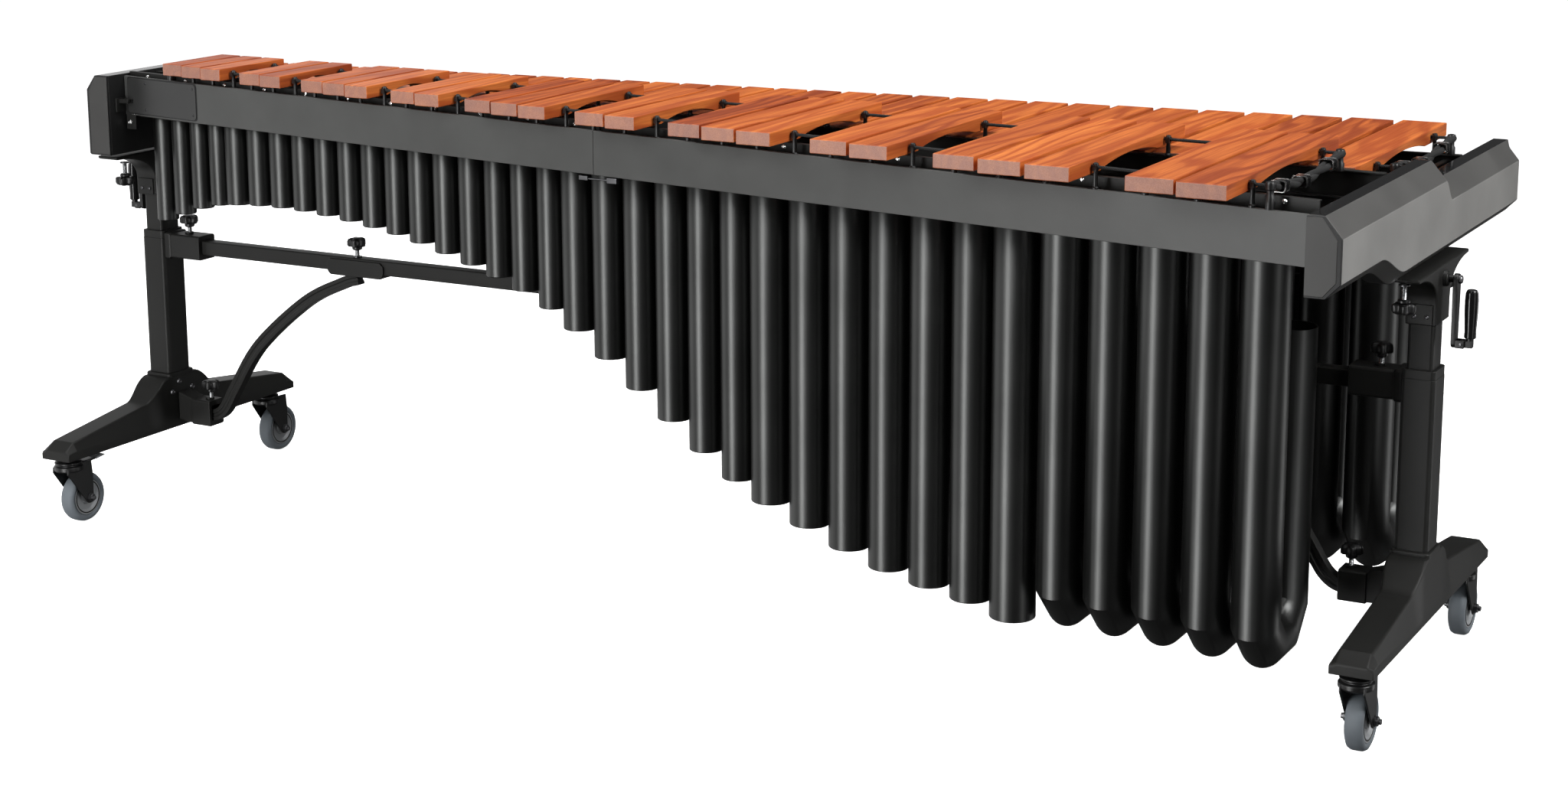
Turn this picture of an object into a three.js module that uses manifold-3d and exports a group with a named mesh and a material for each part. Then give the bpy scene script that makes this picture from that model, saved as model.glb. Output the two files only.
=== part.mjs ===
// A five-octave concert marimba, C2 to C7, in millimetres.
// +X runs to the low end, -Y to the audience, +Z up. The origin is on the floor, under the middle.
// Two feet on casters carry two telescopic columns, and a stretcher beam with curved braces ties them.
// The columns lift the upper frame: end panels, rails, resonator tubes, and the bars on their cords.
import * as THREE from 'three';
import { mergeVertices } from 'three/addons/utils/BufferGeometryUtils.js';
import Module from 'manifold-3d';

const wasm = await Module();
wasm.setup();

// ---------- driving dimensions ----------
const HALF_LENGTH = 1335;        // middle to the outer face of an end panel
const PANEL_THICK = 53;
const GAP = 0.3;                 // clearance where two pieces touch

// Bars. The pitch shrinks from the low end to the high end.
const NATURALS = 36;
const LOW_EDGE = 1236;           // outer edge of the lowest natural's slot
const LOW_PITCH = 91.3;
const HIGH_PITCH = 55.4;
const PITCH_DIP = 31;            // how far the middle pitches fall below a straight line, times four
const BAR_SHARE = 0.855;         // bar width as a share of its pitch
const FIRST_SHARP_SHIFT = 5;     // the lowest sharp sits this far off the joint of its two naturals
const BAR_THICK = 23;
const NODE_SHARE = 0.19;         // where the cord crosses a bar, from its end
const CORD_RADIUS = 2;
const CORD_OVERHANG = 4;
const NATURAL_TOP = 891;
const ACCIDENTAL_TOP = 928;
const SHARPS = [0, 1, 3, 4, 5];  // naturals of an octave that have a sharp above them, counted from C
const FRONT_SPLIT = 16;          // the low half holds the front tubes and sharps of this many naturals
const REAR_SPLIT = 17;           // and this many naturals

// Straight lines in plan: y = at + slope * x.
const line = (at, slope) => (x) => at + slope * x;
const accidentalNear = line(-360, -0.177);
const accidentalLength = line(355, 0.1595);
const naturalFar = line(318, 0.105);
const naturalLength = line(374, 0.1454);
const fasciaFace = line(-300, -0.145);
const innerFrontFace = line(-59, -0.0404);
const innerRearFace = line(-9, -0.0287);
const rearFace = line(258, 0.0737);
const frontTubes = line(-172, -0.08);
const rearTubes = line(139, 0.033);

// Rails
const RAIL_THICK = 4;
const RAIL_FLANGE = 13;
const FRONT_RAIL_TOP = 882;
const REAR_RAIL_TOP = 852;
const INNER_RAIL_TOP = 889;
const RAIL_HEIGHT = 78;
const INNER_RAIL_HEIGHT = 46;

// Resonators
const TUBE_SHARE = 0.44;         // rear tube radius as a share of the pitch
const FRONT_FIRST = 1145;        // the lowest front tube's axis
// Each size of front tube: how many steps from tube to tube, and the step.
const FRONT_SIZES = [[5, 86.4], [6, 79.8], [6, 69], [6, 61], [8, 58.9], [4, 50.5]];
const FRONT_SPACE = 8;           // between two front tubes of one size
const TUBE_WALL = 2;
const TUBE_SIDES = 8;
const FRONT_TUBE_TOP = 862;
const REAR_TUBE_TOP = 832;
const WEB_HEIGHT = 14;
const WEB_THICK = 3;
const FOLDED = 5;                // lowest tubes of a bank that turn back up
const RETURN_TOP = 634;
const FOLD = 140;                // how far behind a folded tube its return stands
const ELBOW_CUT = 41;            // how far the slanted length of an elbow runs, down and across

// Columns and base
const COLUMN_X = 1319;
const COLUMN_Y = 18;
const OUTER_HALF = [28, 32.5];
const INNER_HALF = [21.5, 27];
const COLUMN_WALL = 3;
const COLUMN_BOTTOM = 248.6;
const COLLAR_TOP = 556;
const HEAD_BOTTOM = 632;
const PANEL_BOTTOM = 727;
const CRANK_Z = 704;
const BEAM_Z = 525.5;
const BEAM_HALF = 14.5;
const BEAM_END = 1283;
const SOCKET_START = 1203;

// Feet and casters
const FOOT_BOTTOM = 140;
const SADDLE_TOP = 248;
const STEM_Y = { front: -293, rear: 322 };
const TRAIL = 35;
const WHEEL_RADIUS = 50;
const WHEEL_WIDTH = 30;

// ---------- materials ----------
const finish = (color, roughness, metalness) => () =>
  new THREE.MeshStandardMaterial({ color, roughness, metalness });
const blackFrame = finish(0x2b2c2c, 0.55, 0.6);
const greyRail = finish(0x4a4c4b, 0.5, 0.6);
const greyPanel = finish(0x5c5b59, 0.55, 0.4);
const tubeBlack = finish(0x2e2f2f, 0.4, 0.8);
const rosewood = finish(0xb35a2c, 0.5, 0.0);
const blackPlastic = finish(0x1a1a1b, 0.45, 0.0);
const greyTread = finish(0x7d848c, 0.7, 0.0);
const greyHub = finish(0xa9abac, 0.5, 0.1);
const steel = finish(0xb8babb, 0.3, 1.0);

// ---------- geometry helpers ----------
const group = new THREE.Group();

// A closed three.js geometry as a manifold solid.
function solid(geometry) {
  const bare = geometry.clone();
  bare.deleteAttribute('normal');
  bare.deleteAttribute('uv');
  const merged = mergeVertices(bare, 1e-3);
  return new wasm.Manifold(new wasm.Mesh({
    numProp: 3,
    vertProperties: new Float32Array(merged.attributes.position.array),
    triVerts: new Uint32Array(merged.index.array),
  }));
}

// A manifold solid as a three.js geometry.
function geometryOf(body) {
  const mesh = body.getMesh();
  const geometry = new THREE.BufferGeometry();
  geometry.setAttribute('position', new THREE.BufferAttribute(mesh.vertProperties, 3));
  geometry.setIndex(new THREE.BufferAttribute(mesh.triVerts, 1));
  geometry.computeVertexNormals();
  return geometry;
}

const join = (...bodies) => bodies.flat().reduce((a, b) => a.add(b));
const cut = (body, ...tools) => tools.flat().reduce((a, b) => a.subtract(b), body);

function add(name, body, material) {
  const mesh = new THREE.Mesh(geometryOf(body), material());
  mesh.name = name;
  group.add(mesh);
}

// A box between two values on each axis, given in either order.
function box(x0, x1, y0, y1, z0, z1) {
  const geometry = new THREE.BoxGeometry(Math.abs(x1 - x0), Math.abs(y1 - y0), Math.abs(z1 - z0));
  geometry.translate((x0 + x1) / 2, (y0 + y1) / 2, (z0 + z1) / 2);
  return solid(geometry);
}

// An outline swept straight along one axis, from low to high.
const SWEEP_AXES = {
  x: [new THREE.Vector3(0, 1, 0), new THREE.Vector3(0, 0, 1), new THREE.Vector3(1, 0, 0)],
  y: [new THREE.Vector3(0, 0, 1), new THREE.Vector3(1, 0, 0), new THREE.Vector3(0, 1, 0)],
  z: [new THREE.Vector3(1, 0, 0), new THREE.Vector3(0, 1, 0), new THREE.Vector3(0, 0, 1)],
};

function prism(axis, outline, low, high) {
  // Outline points are (y, z) along x, (x, z) along y, and (x, y) along z.
  const points = outline.map(([a, b]) => (axis === 'y' ? [b, a] : [a, b]));
  const shape = new THREE.Shape(points.map(([a, b]) => new THREE.Vector2(a, b)));
  const start = Math.min(low, high);
  const geometry = new THREE.ExtrudeGeometry(shape, { depth: Math.abs(high - low), bevelEnabled: false });
  geometry.applyMatrix4(new THREE.Matrix4().makeBasis(...SWEEP_AXES[axis]));
  const shift = SWEEP_AXES[axis][2].clone().multiplyScalar(start);
  geometry.translate(shift.x, shift.y, shift.z);
  return solid(geometry);
}

// A round rod between two points, or a cone when the radii differ.
function rod(from, to, radius, sides = 10, endRadius = radius) {
  const a = new THREE.Vector3(...from);
  const b = new THREE.Vector3(...to);
  const along = b.clone().sub(a);
  const geometry = new THREE.CylinderGeometry(endRadius, radius, along.length(), sides);
  geometry.rotateY(Math.PI / sides);
  const turn = new THREE.Quaternion().setFromUnitVectors(new THREE.Vector3(0, 1, 0), along.normalize());
  geometry.applyQuaternion(turn);
  const middle = a.add(b).multiplyScalar(0.5);
  geometry.translate(middle.x, middle.y, middle.z);
  return solid(geometry);
}

// A pipe that starts straight down and follows a path of points, cut on the mitre plane at each corner.
function pipe(path, radius) {
  const points = path.map((point) => new THREE.Vector3(...point));
  const rings = [Array.from({ length: TUBE_SIDES }, (_, k) => {
    const angle = (2 * Math.PI * (k + 0.5)) / TUBE_SIDES;
    return new THREE.Vector3(radius * Math.cos(angle), radius * Math.sin(angle), 0).add(points[0]);
  })];
  points.slice(1).forEach((point, k) => {
    const along = point.clone().sub(points[k]).normalize();
    const next = points[k + 2];
    const normal = next ? next.clone().sub(point).normalize().add(along) : along;
    rings.push(rings[k].map((corner) => corner.clone().addScaledVector(
      along, point.clone().sub(corner).dot(normal) / along.dot(normal),
    )));
  });
  const at = (ring, k) => ring * TUBE_SIDES + (k % TUBE_SIDES);
  const last = rings.length - 1;
  const faces = [];
  for (let k = 0; k < TUBE_SIDES; k += 1) {
    for (let ring = 0; ring < last; ring += 1) {
      faces.push(at(ring, k), at(ring + 1, k), at(ring, k + 1));
      faces.push(at(ring, k + 1), at(ring + 1, k), at(ring + 1, k + 1));
    }
    if (k > 0 && k < TUBE_SIDES - 1) {
      faces.push(at(0, 0), at(0, k), at(0, k + 1));
      faces.push(at(last, 0), at(last, k + 1), at(last, k));
    }
  }
  return new wasm.Manifold(new wasm.Mesh({
    numProp: 3,
    vertProperties: new Float32Array(rings.flat().flatMap((corner) => corner.toArray())),
    triVerts: new Uint32Array(faces),
  }));
}

// An upright tube whose flat sides face the rails.
const upright = (x, y, z0, z1, radius) => rod([x, y, z0], [x, y, z1], radius, TUBE_SIDES);

// ---------- the keyboard's layout ----------
const pitches = Array.from({ length: NATURALS }, (_, i) => {
  const t = i / (NATURALS - 1);
  return LOW_PITCH + (HIGH_PITCH - LOW_PITCH) * t - PITCH_DIP * t * (1 - t);
});
// slotEdge[i] is the low side of natural i, and slotEdge[i + 1] its high side.
const slotEdge = pitches.reduce((edges, pitch) => [...edges, edges.at(-1) - pitch], [LOW_EDGE]);
const pitchAt = (i) => (pitches[i] + pitches[Math.min(i + 1, NATURALS - 1)]) / 2;
const OCTAVE = 7;
const isSharp = (i) => i < NATURALS - 2 && SHARPS.includes(i % OCTAVE);
const PANEL_INNER = HALF_LENGTH - PANEL_THICK;
const RAIL_END = PANEL_INNER - GAP;

// The frame comes apart in two halves. x is the span of a half, and holds says which notes it carries.
const halves = (seam, split) => ({
  low: { x: [seam + GAP, RAIL_END], holds: (i) => i < split },
  high: { x: [-RAIL_END, seam - GAP], holds: (i) => i >= split },
});
const FRONT_HALVES = halves((slotEdge[FRONT_SPLIT] + slotEdge[FRONT_SPLIT + 1]) / 2, FRONT_SPLIT);
const REAR_HALVES = halves(slotEdge[REAR_SPLIT], REAR_SPLIT);
const ENDS = { high: -1, low: 1 };

// ---------- bars ----------
// A bar lies along y. Its underside is arched between the two nodes, which tunes it.
function bar(x, width, near, length, top) {
  const bottom = top - BAR_THICK;
  const arch = top - BAR_THICK * 0.5;
  const far = near + length;
  const outline = [
    [near, bottom], [near + 0.26 * length, bottom], [near + 0.4 * length, arch],
    [far - 0.4 * length, arch], [far - 0.26 * length, bottom], [far, bottom], [far, top], [near, top],
  ];
  return prism('x', outline, x - width / 2, x + width / 2);
}

// One keyboard row of a frame half: its bars, threaded on two cords that reach a little past them.
function barRow(notes, nearAt, lengthAt, top) {
  const bars = notes.map(({ x, width }) => bar(x, width, nearAt(x), lengthAt(x), top));
  const last = notes.at(-1);
  const start = notes[0].x + notes[0].width / 2 + CORD_OVERHANG;
  const end = last.x - last.width / 2 - CORD_OVERHANG;
  const z = top - BAR_THICK * 0.6;
  const cords = [NODE_SHARE, 1 - NODE_SHARE].map((share) => {
    const y = (x) => nearAt(x) + share * lengthAt(x);
    return rod([end, y(end), z], [start, y(start), z], CORD_RADIUS * 1.25, 4);
  });
  return join(bars, cords);
}

const naturalNear = (x) => naturalFar(x) - naturalLength(x);
const naturals = pitches
  .map((pitch, i) => ({ i, x: (slotEdge[i] + slotEdge[i + 1]) / 2, width: pitch * BAR_SHARE }));
const sharps = naturals.filter(({ i }) => isSharp(i))
  .map(({ i }) => ({ i, x: slotEdge[i + 1], width: pitchAt(i) * BAR_SHARE }));
sharps[0].x -= FIRST_SHARP_SHIFT;
const heldBy = (notes, { holds }) => notes.filter(({ i }) => holds(i));
for (const half of ['low', 'high']) {
  const naturalRow = barRow(heldBy(naturals, REAR_HALVES[half]), naturalNear, naturalLength, NATURAL_TOP);
  add(`${half}_natural_bars`, naturalRow, rosewood);
  const heldSharps = heldBy(sharps, FRONT_HALVES[half]);
  const sharpRow = barRow(heldSharps, accidentalNear, accidentalLength, ACCIDENTAL_TOP);
  add(`${half}_accidental_bars`, sharpRow, rosewood);
}

// ---------- rails ----------
// A rail is a folded channel that follows a straight line in plan. side is +1 if its flanges point to +y.
function rail(face, [x0, x1], top, height, side) {
  const strip = (depth, z0, z1) => prism('z', [
    [x0, face(x0)], [x1, face(x1)], [x1, face(x1) + side * depth], [x0, face(x0) + side * depth],
  ], z0, z1);
  const bottom = top - height;
  return join(
    strip(RAIL_THICK, bottom, top),
    strip(RAIL_FLANGE, top - RAIL_THICK, top),
    strip(RAIL_FLANGE, bottom, bottom + RAIL_THICK),
  );
}

for (const half of ['low', 'high']) {
  const fascia = rail(fasciaFace, FRONT_HALVES[half].x, FRONT_RAIL_TOP, RAIL_HEIGHT, 1);
  add(`${half}_front_fascia`, fascia, greyRail);
  add(`${half}_rear_rail`, rail(rearFace, REAR_HALVES[half].x, REAR_RAIL_TOP, RAIL_HEIGHT, -1), blackFrame);
}
const fullLength = [-RAIL_END, RAIL_END];
const sharpInnerRail = rail(innerFrontFace, fullLength, INNER_RAIL_TOP, INNER_RAIL_HEIGHT, -1);
add('accidental_inner_rail', sharpInnerRail, blackFrame);
const naturalInnerRail = rail(innerRearFace, fullLength, REAR_RAIL_TOP, INNER_RAIL_HEIGHT, 1);
add('natural_inner_rail', naturalInnerRail, blackFrame);

// ---------- resonators ----------
// The bottoms of the tubes follow a display curve from the long bass tubes to the short treble ones.
const contour = new THREE.SplineCurve([
  [-1400, 540], [-1219, 598], [-1067, 643], [-860, 654], [-640, 636], [-485, 607], [-302, 556], [-180, 497],
  [-111, 453], [27, 357], [165, 268], [314, 208], [474, 157], [633, 130], [713, 112], [800, 100], [1000, 98],
  [1200, 93],
].map(([x, z]) => new THREE.Vector2(x, z)));
const CONTOUR_STEPS = 400;
const contourPoints = contour.getPoints(CONTOUR_STEPS);

function tubeBottom(x) {
  const next = contourPoints.findIndex((point) => point.x >= x);
  const [a, b] = [contourPoints[next - 1], contourPoints[next]];
  return a.y + (b.y - a.y) * (x - a.x) / (b.x - a.x);
}

// A tube is open at the top and stopped at the bottom.
function tube(x, y, radius, bottom, top) {
  const stop = bottom + TUBE_WALL + 1;
  return cut(upright(x, y, bottom, top, radius), upright(x, y, stop, top + 5, radius - TUBE_WALL));
}

// A folded tube turns back through a slant-cut elbow into a second tube that is open at its top.
function foldedTube(x, y, radius, bottom, top) {
  const floor = bottom + radius;
  const back = y + FOLD;
  const shape = (size, rim) => pipe([
    [x, y, top + rim], [x, y, floor + ELBOW_CUT], [x, y + ELBOW_CUT, floor],
    [x, back - ELBOW_CUT, floor], [x, back, floor + ELBOW_CUT], [x, back, RETURN_TOP + rim],
  ], size);
  return cut(shape(radius, 0), shape(radius - TUBE_WALL, 5));
}

// Flat webs between neighbours carry the tubes of a bank, and reach out to the ends of its rails.
function webs(tubes, centre, [x0, x1], top) {
  const z1 = top - 8;
  const flat = (radius) => radius * Math.cos(Math.PI / TUBE_SIDES) - WEB_THICK / 6;
  const gaps = tubes.slice(1)
    .map((next, k) => [next.x + flat(next.radius), tubes[k].x - flat(tubes[k].radius)]);
  const [first, last] = [tubes[0], tubes.at(-1)];
  const ends = [[first.x + flat(first.radius), x1], [x0, last.x - flat(last.radius)]];
  return [...gaps, ...ends].map(([a, b]) => prism('z', [
    [a, centre(a) - WEB_THICK / 2], [b, centre(b) - WEB_THICK / 2],
    [b, centre(b) + WEB_THICK / 2], [a, centre(a) + WEB_THICK / 2],
  ], z1 - WEB_HEIGHT, z1));
}

// The front tubes are of six sizes, evenly spaced within a size. The rear row follows the bars.
const frontRow = [{ i: 0, x: FRONT_FIRST, radius: (FRONT_SIZES[0][1] - FRONT_SPACE) / 2 }];
for (const [count, step] of FRONT_SIZES) {
  for (let k = 0; k < count; k += 1) {
    frontRow.push({ i: frontRow.length, x: frontRow.at(-1).x - step, radius: (step - FRONT_SPACE) / 2 });
  }
}
const rearRow = naturals.map(({ i, x }) => ({ i, x, radius: pitchAt(i) * TUBE_SHARE }));
const frontSeam = (frontRow[FRONT_SPLIT - 1].x + frontRow[FRONT_SPLIT].x) / 2;
const BANKS = {
  front: {
    centre: frontTubes, top: FRONT_TUBE_TOP, lift: 0, row: frontRow, halves: halves(frontSeam, FRONT_SPLIT),
  },
  rear: { centre: rearTubes, top: REAR_TUBE_TOP, lift: 58, row: rearRow, halves: REAR_HALVES },
};
for (const [bank, { centre, top, lift, row, halves: parts }] of Object.entries(BANKS)) {
  for (const [half, { x: span, holds }] of Object.entries(parts)) {
    const tubes = row.filter(({ i }) => holds(i));
    const bodies = tubes.map(({ i, x, radius }) => {
      const bottom = tubeBottom(x) + lift * Math.max(0, x / HALF_LENGTH);
      return i < FOLDED
        ? foldedTube(x, centre(x), radius, bottom, top)
        : tube(x, centre(x), radius, bottom, top);
    });
    add(`${half}_${bank}_resonators`, join(bodies, webs(tubes, centre, span, top)), tubeBlack);
  }
}

// ---------- end panels ----------
// Seen from the end, a panel steps down from the accidentals' level to the naturals' level.
const PANEL_TOP = 887;
const PANEL_LOW_TOP = 851;
const PANELS = {
  low: {
    near: -518, far: 562.9, step: [47, 91],
    foot: [[-518, 767], [-312, 767], [-262, 760], [-212, 736], [-172, PANEL_BOTTOM]],
  },
  high: { near: -165, far: 275, step: [52, 92], foot: [[-165, PANEL_BOTTOM]] },
};
const CHAMFER = [27, 32];        // across and down, along the top outer edge

function endPanel(side, { near, far, step, foot }) {
  const inner = side * PANEL_INNER;
  const outer = side * HALF_LENGTH;
  const outline = [...foot, [far, PANEL_BOTTOM], [far, PANEL_LOW_TOP], [step[1], PANEL_LOW_TOP],
    [step[0], PANEL_TOP], [near, PANEL_TOP]];
  const chamfer = (y0, y1, top) => prism('y', [
    [outer - side * CHAMFER[0], top + 1], [outer + side, top + 1], [outer + side, top - CHAMFER[1]],
    [outer, top - CHAMFER[1]], [outer - side * CHAMFER[0], top],
  ], y0, y1);
  const pocket = (y0, y1, z0, z1) => box(inner - side, outer - side * 8, y0, y1, z0, z1);
  const middle = (step[0] + step[1]) / 2;
  return cut(
    prism('x', outline, inner, outer),
    chamfer(near - 1, middle, PANEL_TOP),
    chamfer(step[0], far + 1, PANEL_LOW_TOP),
    pocket(near + 6, step[0] - 10, 775, PANEL_TOP - CHAMFER[1] - 6),
    pocket(step[0] - 5, far - 6, PANEL_BOTTOM + 8, PANEL_LOW_TOP - CHAMFER[1] - 6),
  );
}

for (const [end, side] of Object.entries(ENDS)) {
  add(`${end}_end_panel`, endPanel(side, PANELS[end]), greyPanel);
}

// ---------- columns ----------
const rectangle = (x, [hx, hy], z0, z1) => box(x - hx, x + hx, COLUMN_Y - hy, COLUMN_Y + hy, z0, z1);
const inset = ([hx, hy], wall) => [hx - wall, hy - wall];
const POST_TOP = 490;
const SCREW_RADIUS = 6;

// The fixed lower tube holds the nut post, a guide collar at its mouth and the welded beam socket.
function outerColumn(side) {
  const x = side * COLUMN_X;
  const collar = COLLAR_TOP - 16;
  const mouth = inset(INNER_HALF, -0.7);
  const socketInner = side * SOCKET_START;
  const socketOuter = x - side * (OUTER_HALF[0] - 1);
  const socket = cut(
    box(socketInner, socketOuter, COLUMN_Y - 25, COLUMN_Y + 25, BEAM_Z - 25, BEAM_Z + 25),
    box(socketInner - side, side * (BEAM_END + 4), COLUMN_Y - BEAM_HALF - 1, COLUMN_Y + BEAM_HALF + 1,
      BEAM_Z - BEAM_HALF - 1, BEAM_Z + BEAM_HALF + 1),
    rod([side * 1248, COLUMN_Y, BEAM_Z], [side * 1248, COLUMN_Y, BEAM_Z + 30], 5.5, 8),
  );
  const shell = cut(
    rectangle(x, OUTER_HALF, COLUMN_BOTTOM, COLLAR_TOP),
    rectangle(x, inset(OUTER_HALF, COLUMN_WALL), COLUMN_BOTTOM + 5, collar),
    rectangle(x, mouth, collar - 1, COLLAR_TOP + 1),
  );
  const post = cut(
    rod([x, COLUMN_Y, COLUMN_BOTTOM + 4], [x, COLUMN_Y, POST_TOP], 11, 10),
    rod([x, COLUMN_Y, COLUMN_BOTTOM + 8], [x, COLUMN_Y, POST_TOP + 1], SCREW_RADIUS + 1.5, 10),
  );
  return join(shell, post, socket);
}

function innerColumn(side) {
  const x = side * COLUMN_X;
  const [z0, z1] = [300, HEAD_BOTTOM - GAP];
  return cut(rectangle(x, INNER_HALF, z0, z1), rectangle(x, inset(INNER_HALF, COLUMN_WALL), z0 - 1, z1 + 1));
}

// The head is a casting: a gear case on the column, and a saddle under the end panel.
const WING = 150;
const WING_BOTTOM = 712;
const HEAD_HALF = [26, 40];

function head(side) {
  const x = side * (COLUMN_X + 2);
  const top = PANEL_BOTTOM - GAP;
  const y = (offset) => COLUMN_Y + offset;
  const outline = [
    [y(-HEAD_HALF[1]), HEAD_BOTTOM], [y(HEAD_HALF[1]), HEAD_BOTTOM], [y(HEAD_HALF[1] + 2), 676],
    [y(HEAD_HALF[1] + 14), 698], [y(HEAD_HALF[1] + 36), WING_BOTTOM], [y(WING), WING_BOTTOM], [y(WING), top],
    [y(-WING), top], [y(-WING), WING_BOTTOM], [y(-HEAD_HALF[1] - 36), WING_BOTTOM],
    [y(-HEAD_HALF[1] - 14), 698],
    [y(-HEAD_HALF[1] - 2), 676],
  ];
  const cavity = box(
    side * (COLUMN_X - 18), side * (COLUMN_X + 19), y(-20), y(20), HEAD_BOTTOM - 1, top - 5,
  );
  const shaftEnd = [side * (HALF_LENGTH + 20), COLUMN_Y, CRANK_Z];
  const shaftHole = rod([side * COLUMN_X, COLUMN_Y, CRANK_Z], shaftEnd, 8, 10);
  return cut(prism('x', outline, x - HEAD_HALF[0], x + HEAD_HALF[0]), cavity, shaftHole);
}

// The lead screw hangs from the gear case and turns in the nut post.
function leadScrew(side) {
  const at = (z) => [side * COLUMN_X, COLUMN_Y, z];
  return join(
    rod(at(300), at(684), SCREW_RADIUS, 10),
    rod(at(680), at(686), 10, 12),
    rod(at(685.5), at(692), 10, 12, 6),
  );
}

// The crank: a bevel gear and shaft, and an arm with the hinge block of its folding grip.
const CRANK_ARM = [1362, 1370];
const GRIP_HINGE = { x: 1379, z: 600 };

function crank(side) {
  const at = (x, z = CRANK_Z) => [side * x, COLUMN_Y, z];
  const arm = prism('x', [
    [COLUMN_Y - 8, 592], [COLUMN_Y + 8, 592], [COLUMN_Y + 12, CRANK_Z - 4], [COLUMN_Y + 9, CRANK_Z + 10],
    [COLUMN_Y - 9, CRANK_Z + 10], [COLUMN_Y - 12, CRANK_Z - 4],
  ], side * CRANK_ARM[0], side * CRANK_ARM[1]);
  const lugs = [-1, 1].map((way) => box(
    side * (CRANK_ARM[1] - 1), side * (GRIP_HINGE.x + 5),
    COLUMN_Y + way * 6.5, COLUMN_Y + way * 10, 593, 607,
  ));
  return join(
    rod(at(1336), at(CRANK_ARM[0] + 1), SCREW_RADIUS, 10),
    rod(at(1330), at(1336.5), 6, 12, 10),
    arm,
    box(side * CRANK_ARM[0], side * (CRANK_ARM[1] + 1), COLUMN_Y - 10, COLUMN_Y + 10, 593, 607),
    lugs,
    rod(
      [side * GRIP_HINGE.x, COLUMN_Y - 7, GRIP_HINGE.z],
      [side * GRIP_HINGE.x, COLUMN_Y + 7, GRIP_HINGE.z], 2, 6,
    ),
  );
}

function grip(side) {
  const { x, z } = GRIP_HINGE;
  const tongue = join(
    rod([side * x, COLUMN_Y - 6, z], [side * x, COLUMN_Y + 6, z], 6, 10),
    box(side * x, side * (x + 18), COLUMN_Y - 6, COLUMN_Y + 6, z - 6, z + 6),
    box(side * (x + 6), side * (x + 18), COLUMN_Y - 6, COLUMN_Y + 6, z, z + 12),
  );
  const handle = rod([side * (x + 12), COLUMN_Y, z + 10], [side * (x + 12), COLUMN_Y, 690], 11, 12, 10);
  const eye = rod([side * x, COLUMN_Y - 7, z], [side * x, COLUMN_Y + 7, z], 2.6, 6);
  return cut(join(tongue, handle), eye);
}

for (const [end, side] of Object.entries(ENDS)) {
  add(`${end}_end_outer_column`, outerColumn(side), blackFrame);
  add(`${end}_end_inner_column`, innerColumn(side), blackFrame);
  add(`${end}_end_head`, head(side), blackFrame);
  add(`${end}_end_lead_screw`, leadScrew(side), steel);
  add(`${end}_end_crank`, crank(side), blackPlastic);
  add(`${end}_end_crank_grip`, grip(side), blackPlastic);
}

// ---------- feet ----------
// A foot is a hollow casting that rises to a saddle under the column.
const FOOT_TOP_LINE = [
  [376, 140], [376, 156], [345, 176], [140, 204], [62, SADDLE_TOP], [-24, SADDLE_TOP], [-92, 203],
  [-300, 172], [-325, 158], [-328, 140],
];
const FOOT_HALF = 36;

function foot(side) {
  const x = side * COLUMN_X;
  const body = prism('x', FOOT_TOP_LINE, x - FOOT_HALF, x + FOOT_HALF);
  const shoulders = [-1, 1].map((way) => prism('y', [
    [x + way * (FOOT_HALF + 1), 158], [x + way * FOOT_HALF, 158], [x + way * (FOOT_HALF - 9), 214],
    [x + way * (FOOT_HALF - 9), 260], [x + way * (FOOT_HALF + 1), 260],
  ], -400, 400));
  const hollow = box(x - FOOT_HALF + 6, x + FOOT_HALF - 6, -245, 275, FOOT_BOTTOM - 1, 166);
  return cut(body, shoulders, hollow);
}

// ---------- casters ----------
function fork(x, y) {
  const axleY = y + TRAIL;
  const half = WHEEL_WIDTH / 2;
  const legs = [-1, 1].map((way) => prism('x', [
    [y - 24, 118], [y - 24, 106], [axleY - 9, 43], [axleY + 9, 43],
    [axleY + 8, 127], [y + 24, 127], [y + 22, 118],
  ], x + way * (half + 2.5), x + way * (half + 6)));
  return join(
    legs,
    box(x - half - 6, x + half + 6, y - 24, y + 24, 113, 118.5),
    rod([x, y, 118], [x, y, FOOT_BOTTOM - GAP], 22, 12),
    rod([x - half - 9, axleY, WHEEL_RADIUS], [x + half + 9, axleY, WHEEL_RADIUS], 5, 10),
  );
}

const wheelRing = (x, y, outer, bore, halfWidth, sides) => cut(
  rod([x - halfWidth, y, WHEEL_RADIUS], [x + halfWidth, y, WHEEL_RADIUS], outer, sides),
  rod([x - halfWidth - 1, y, WHEEL_RADIUS], [x + halfWidth + 1, y, WHEEL_RADIUS], bore, sides),
);
const WHEEL_SIDES = 24;
const TREAD_BORE = 36;

// The brake pedal pivots between the fork's ears, above the wheel.
const PEDAL_PIVOT = { y: 34, z: 121 };

function brakePedal(x, y) {
  const { y: pivot, z } = PEDAL_PIVOT;
  return join(
    box(x - 9, x + 9, y + pivot - 2, y + 62, z, z + 3.5),
    rod([x - 17, y + pivot, z], [x + 17, y + pivot, z], 3, 8),
  );
}

const sideways = WHEEL_RADIUS / Math.cos(Math.PI / WHEEL_SIDES);
for (const [end, side] of Object.entries(ENDS)) {
  add(`${end}_end_foot`, foot(side), blackFrame);
  for (const [place, y] of Object.entries(STEM_Y)) {
    const x = side * COLUMN_X;
    const name = `${end}_${place}`;
    add(`${name}_fork`, fork(x, y), blackPlastic);
    const tread = wheelRing(x, y + TRAIL, sideways, TREAD_BORE, WHEEL_WIDTH / 2, WHEEL_SIDES);
    add(`${name}_tread`, tread, greyTread);
    add(`${name}_hub`, wheelRing(x, y + TRAIL, TREAD_BORE - 0.4, 5.8, WHEEL_WIDTH / 2 - 1, 12), greyHub);
    if (place === 'front') add(`${name}_brake_pedal`, brakePedal(x, y), greyHub);
  }
}

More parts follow.
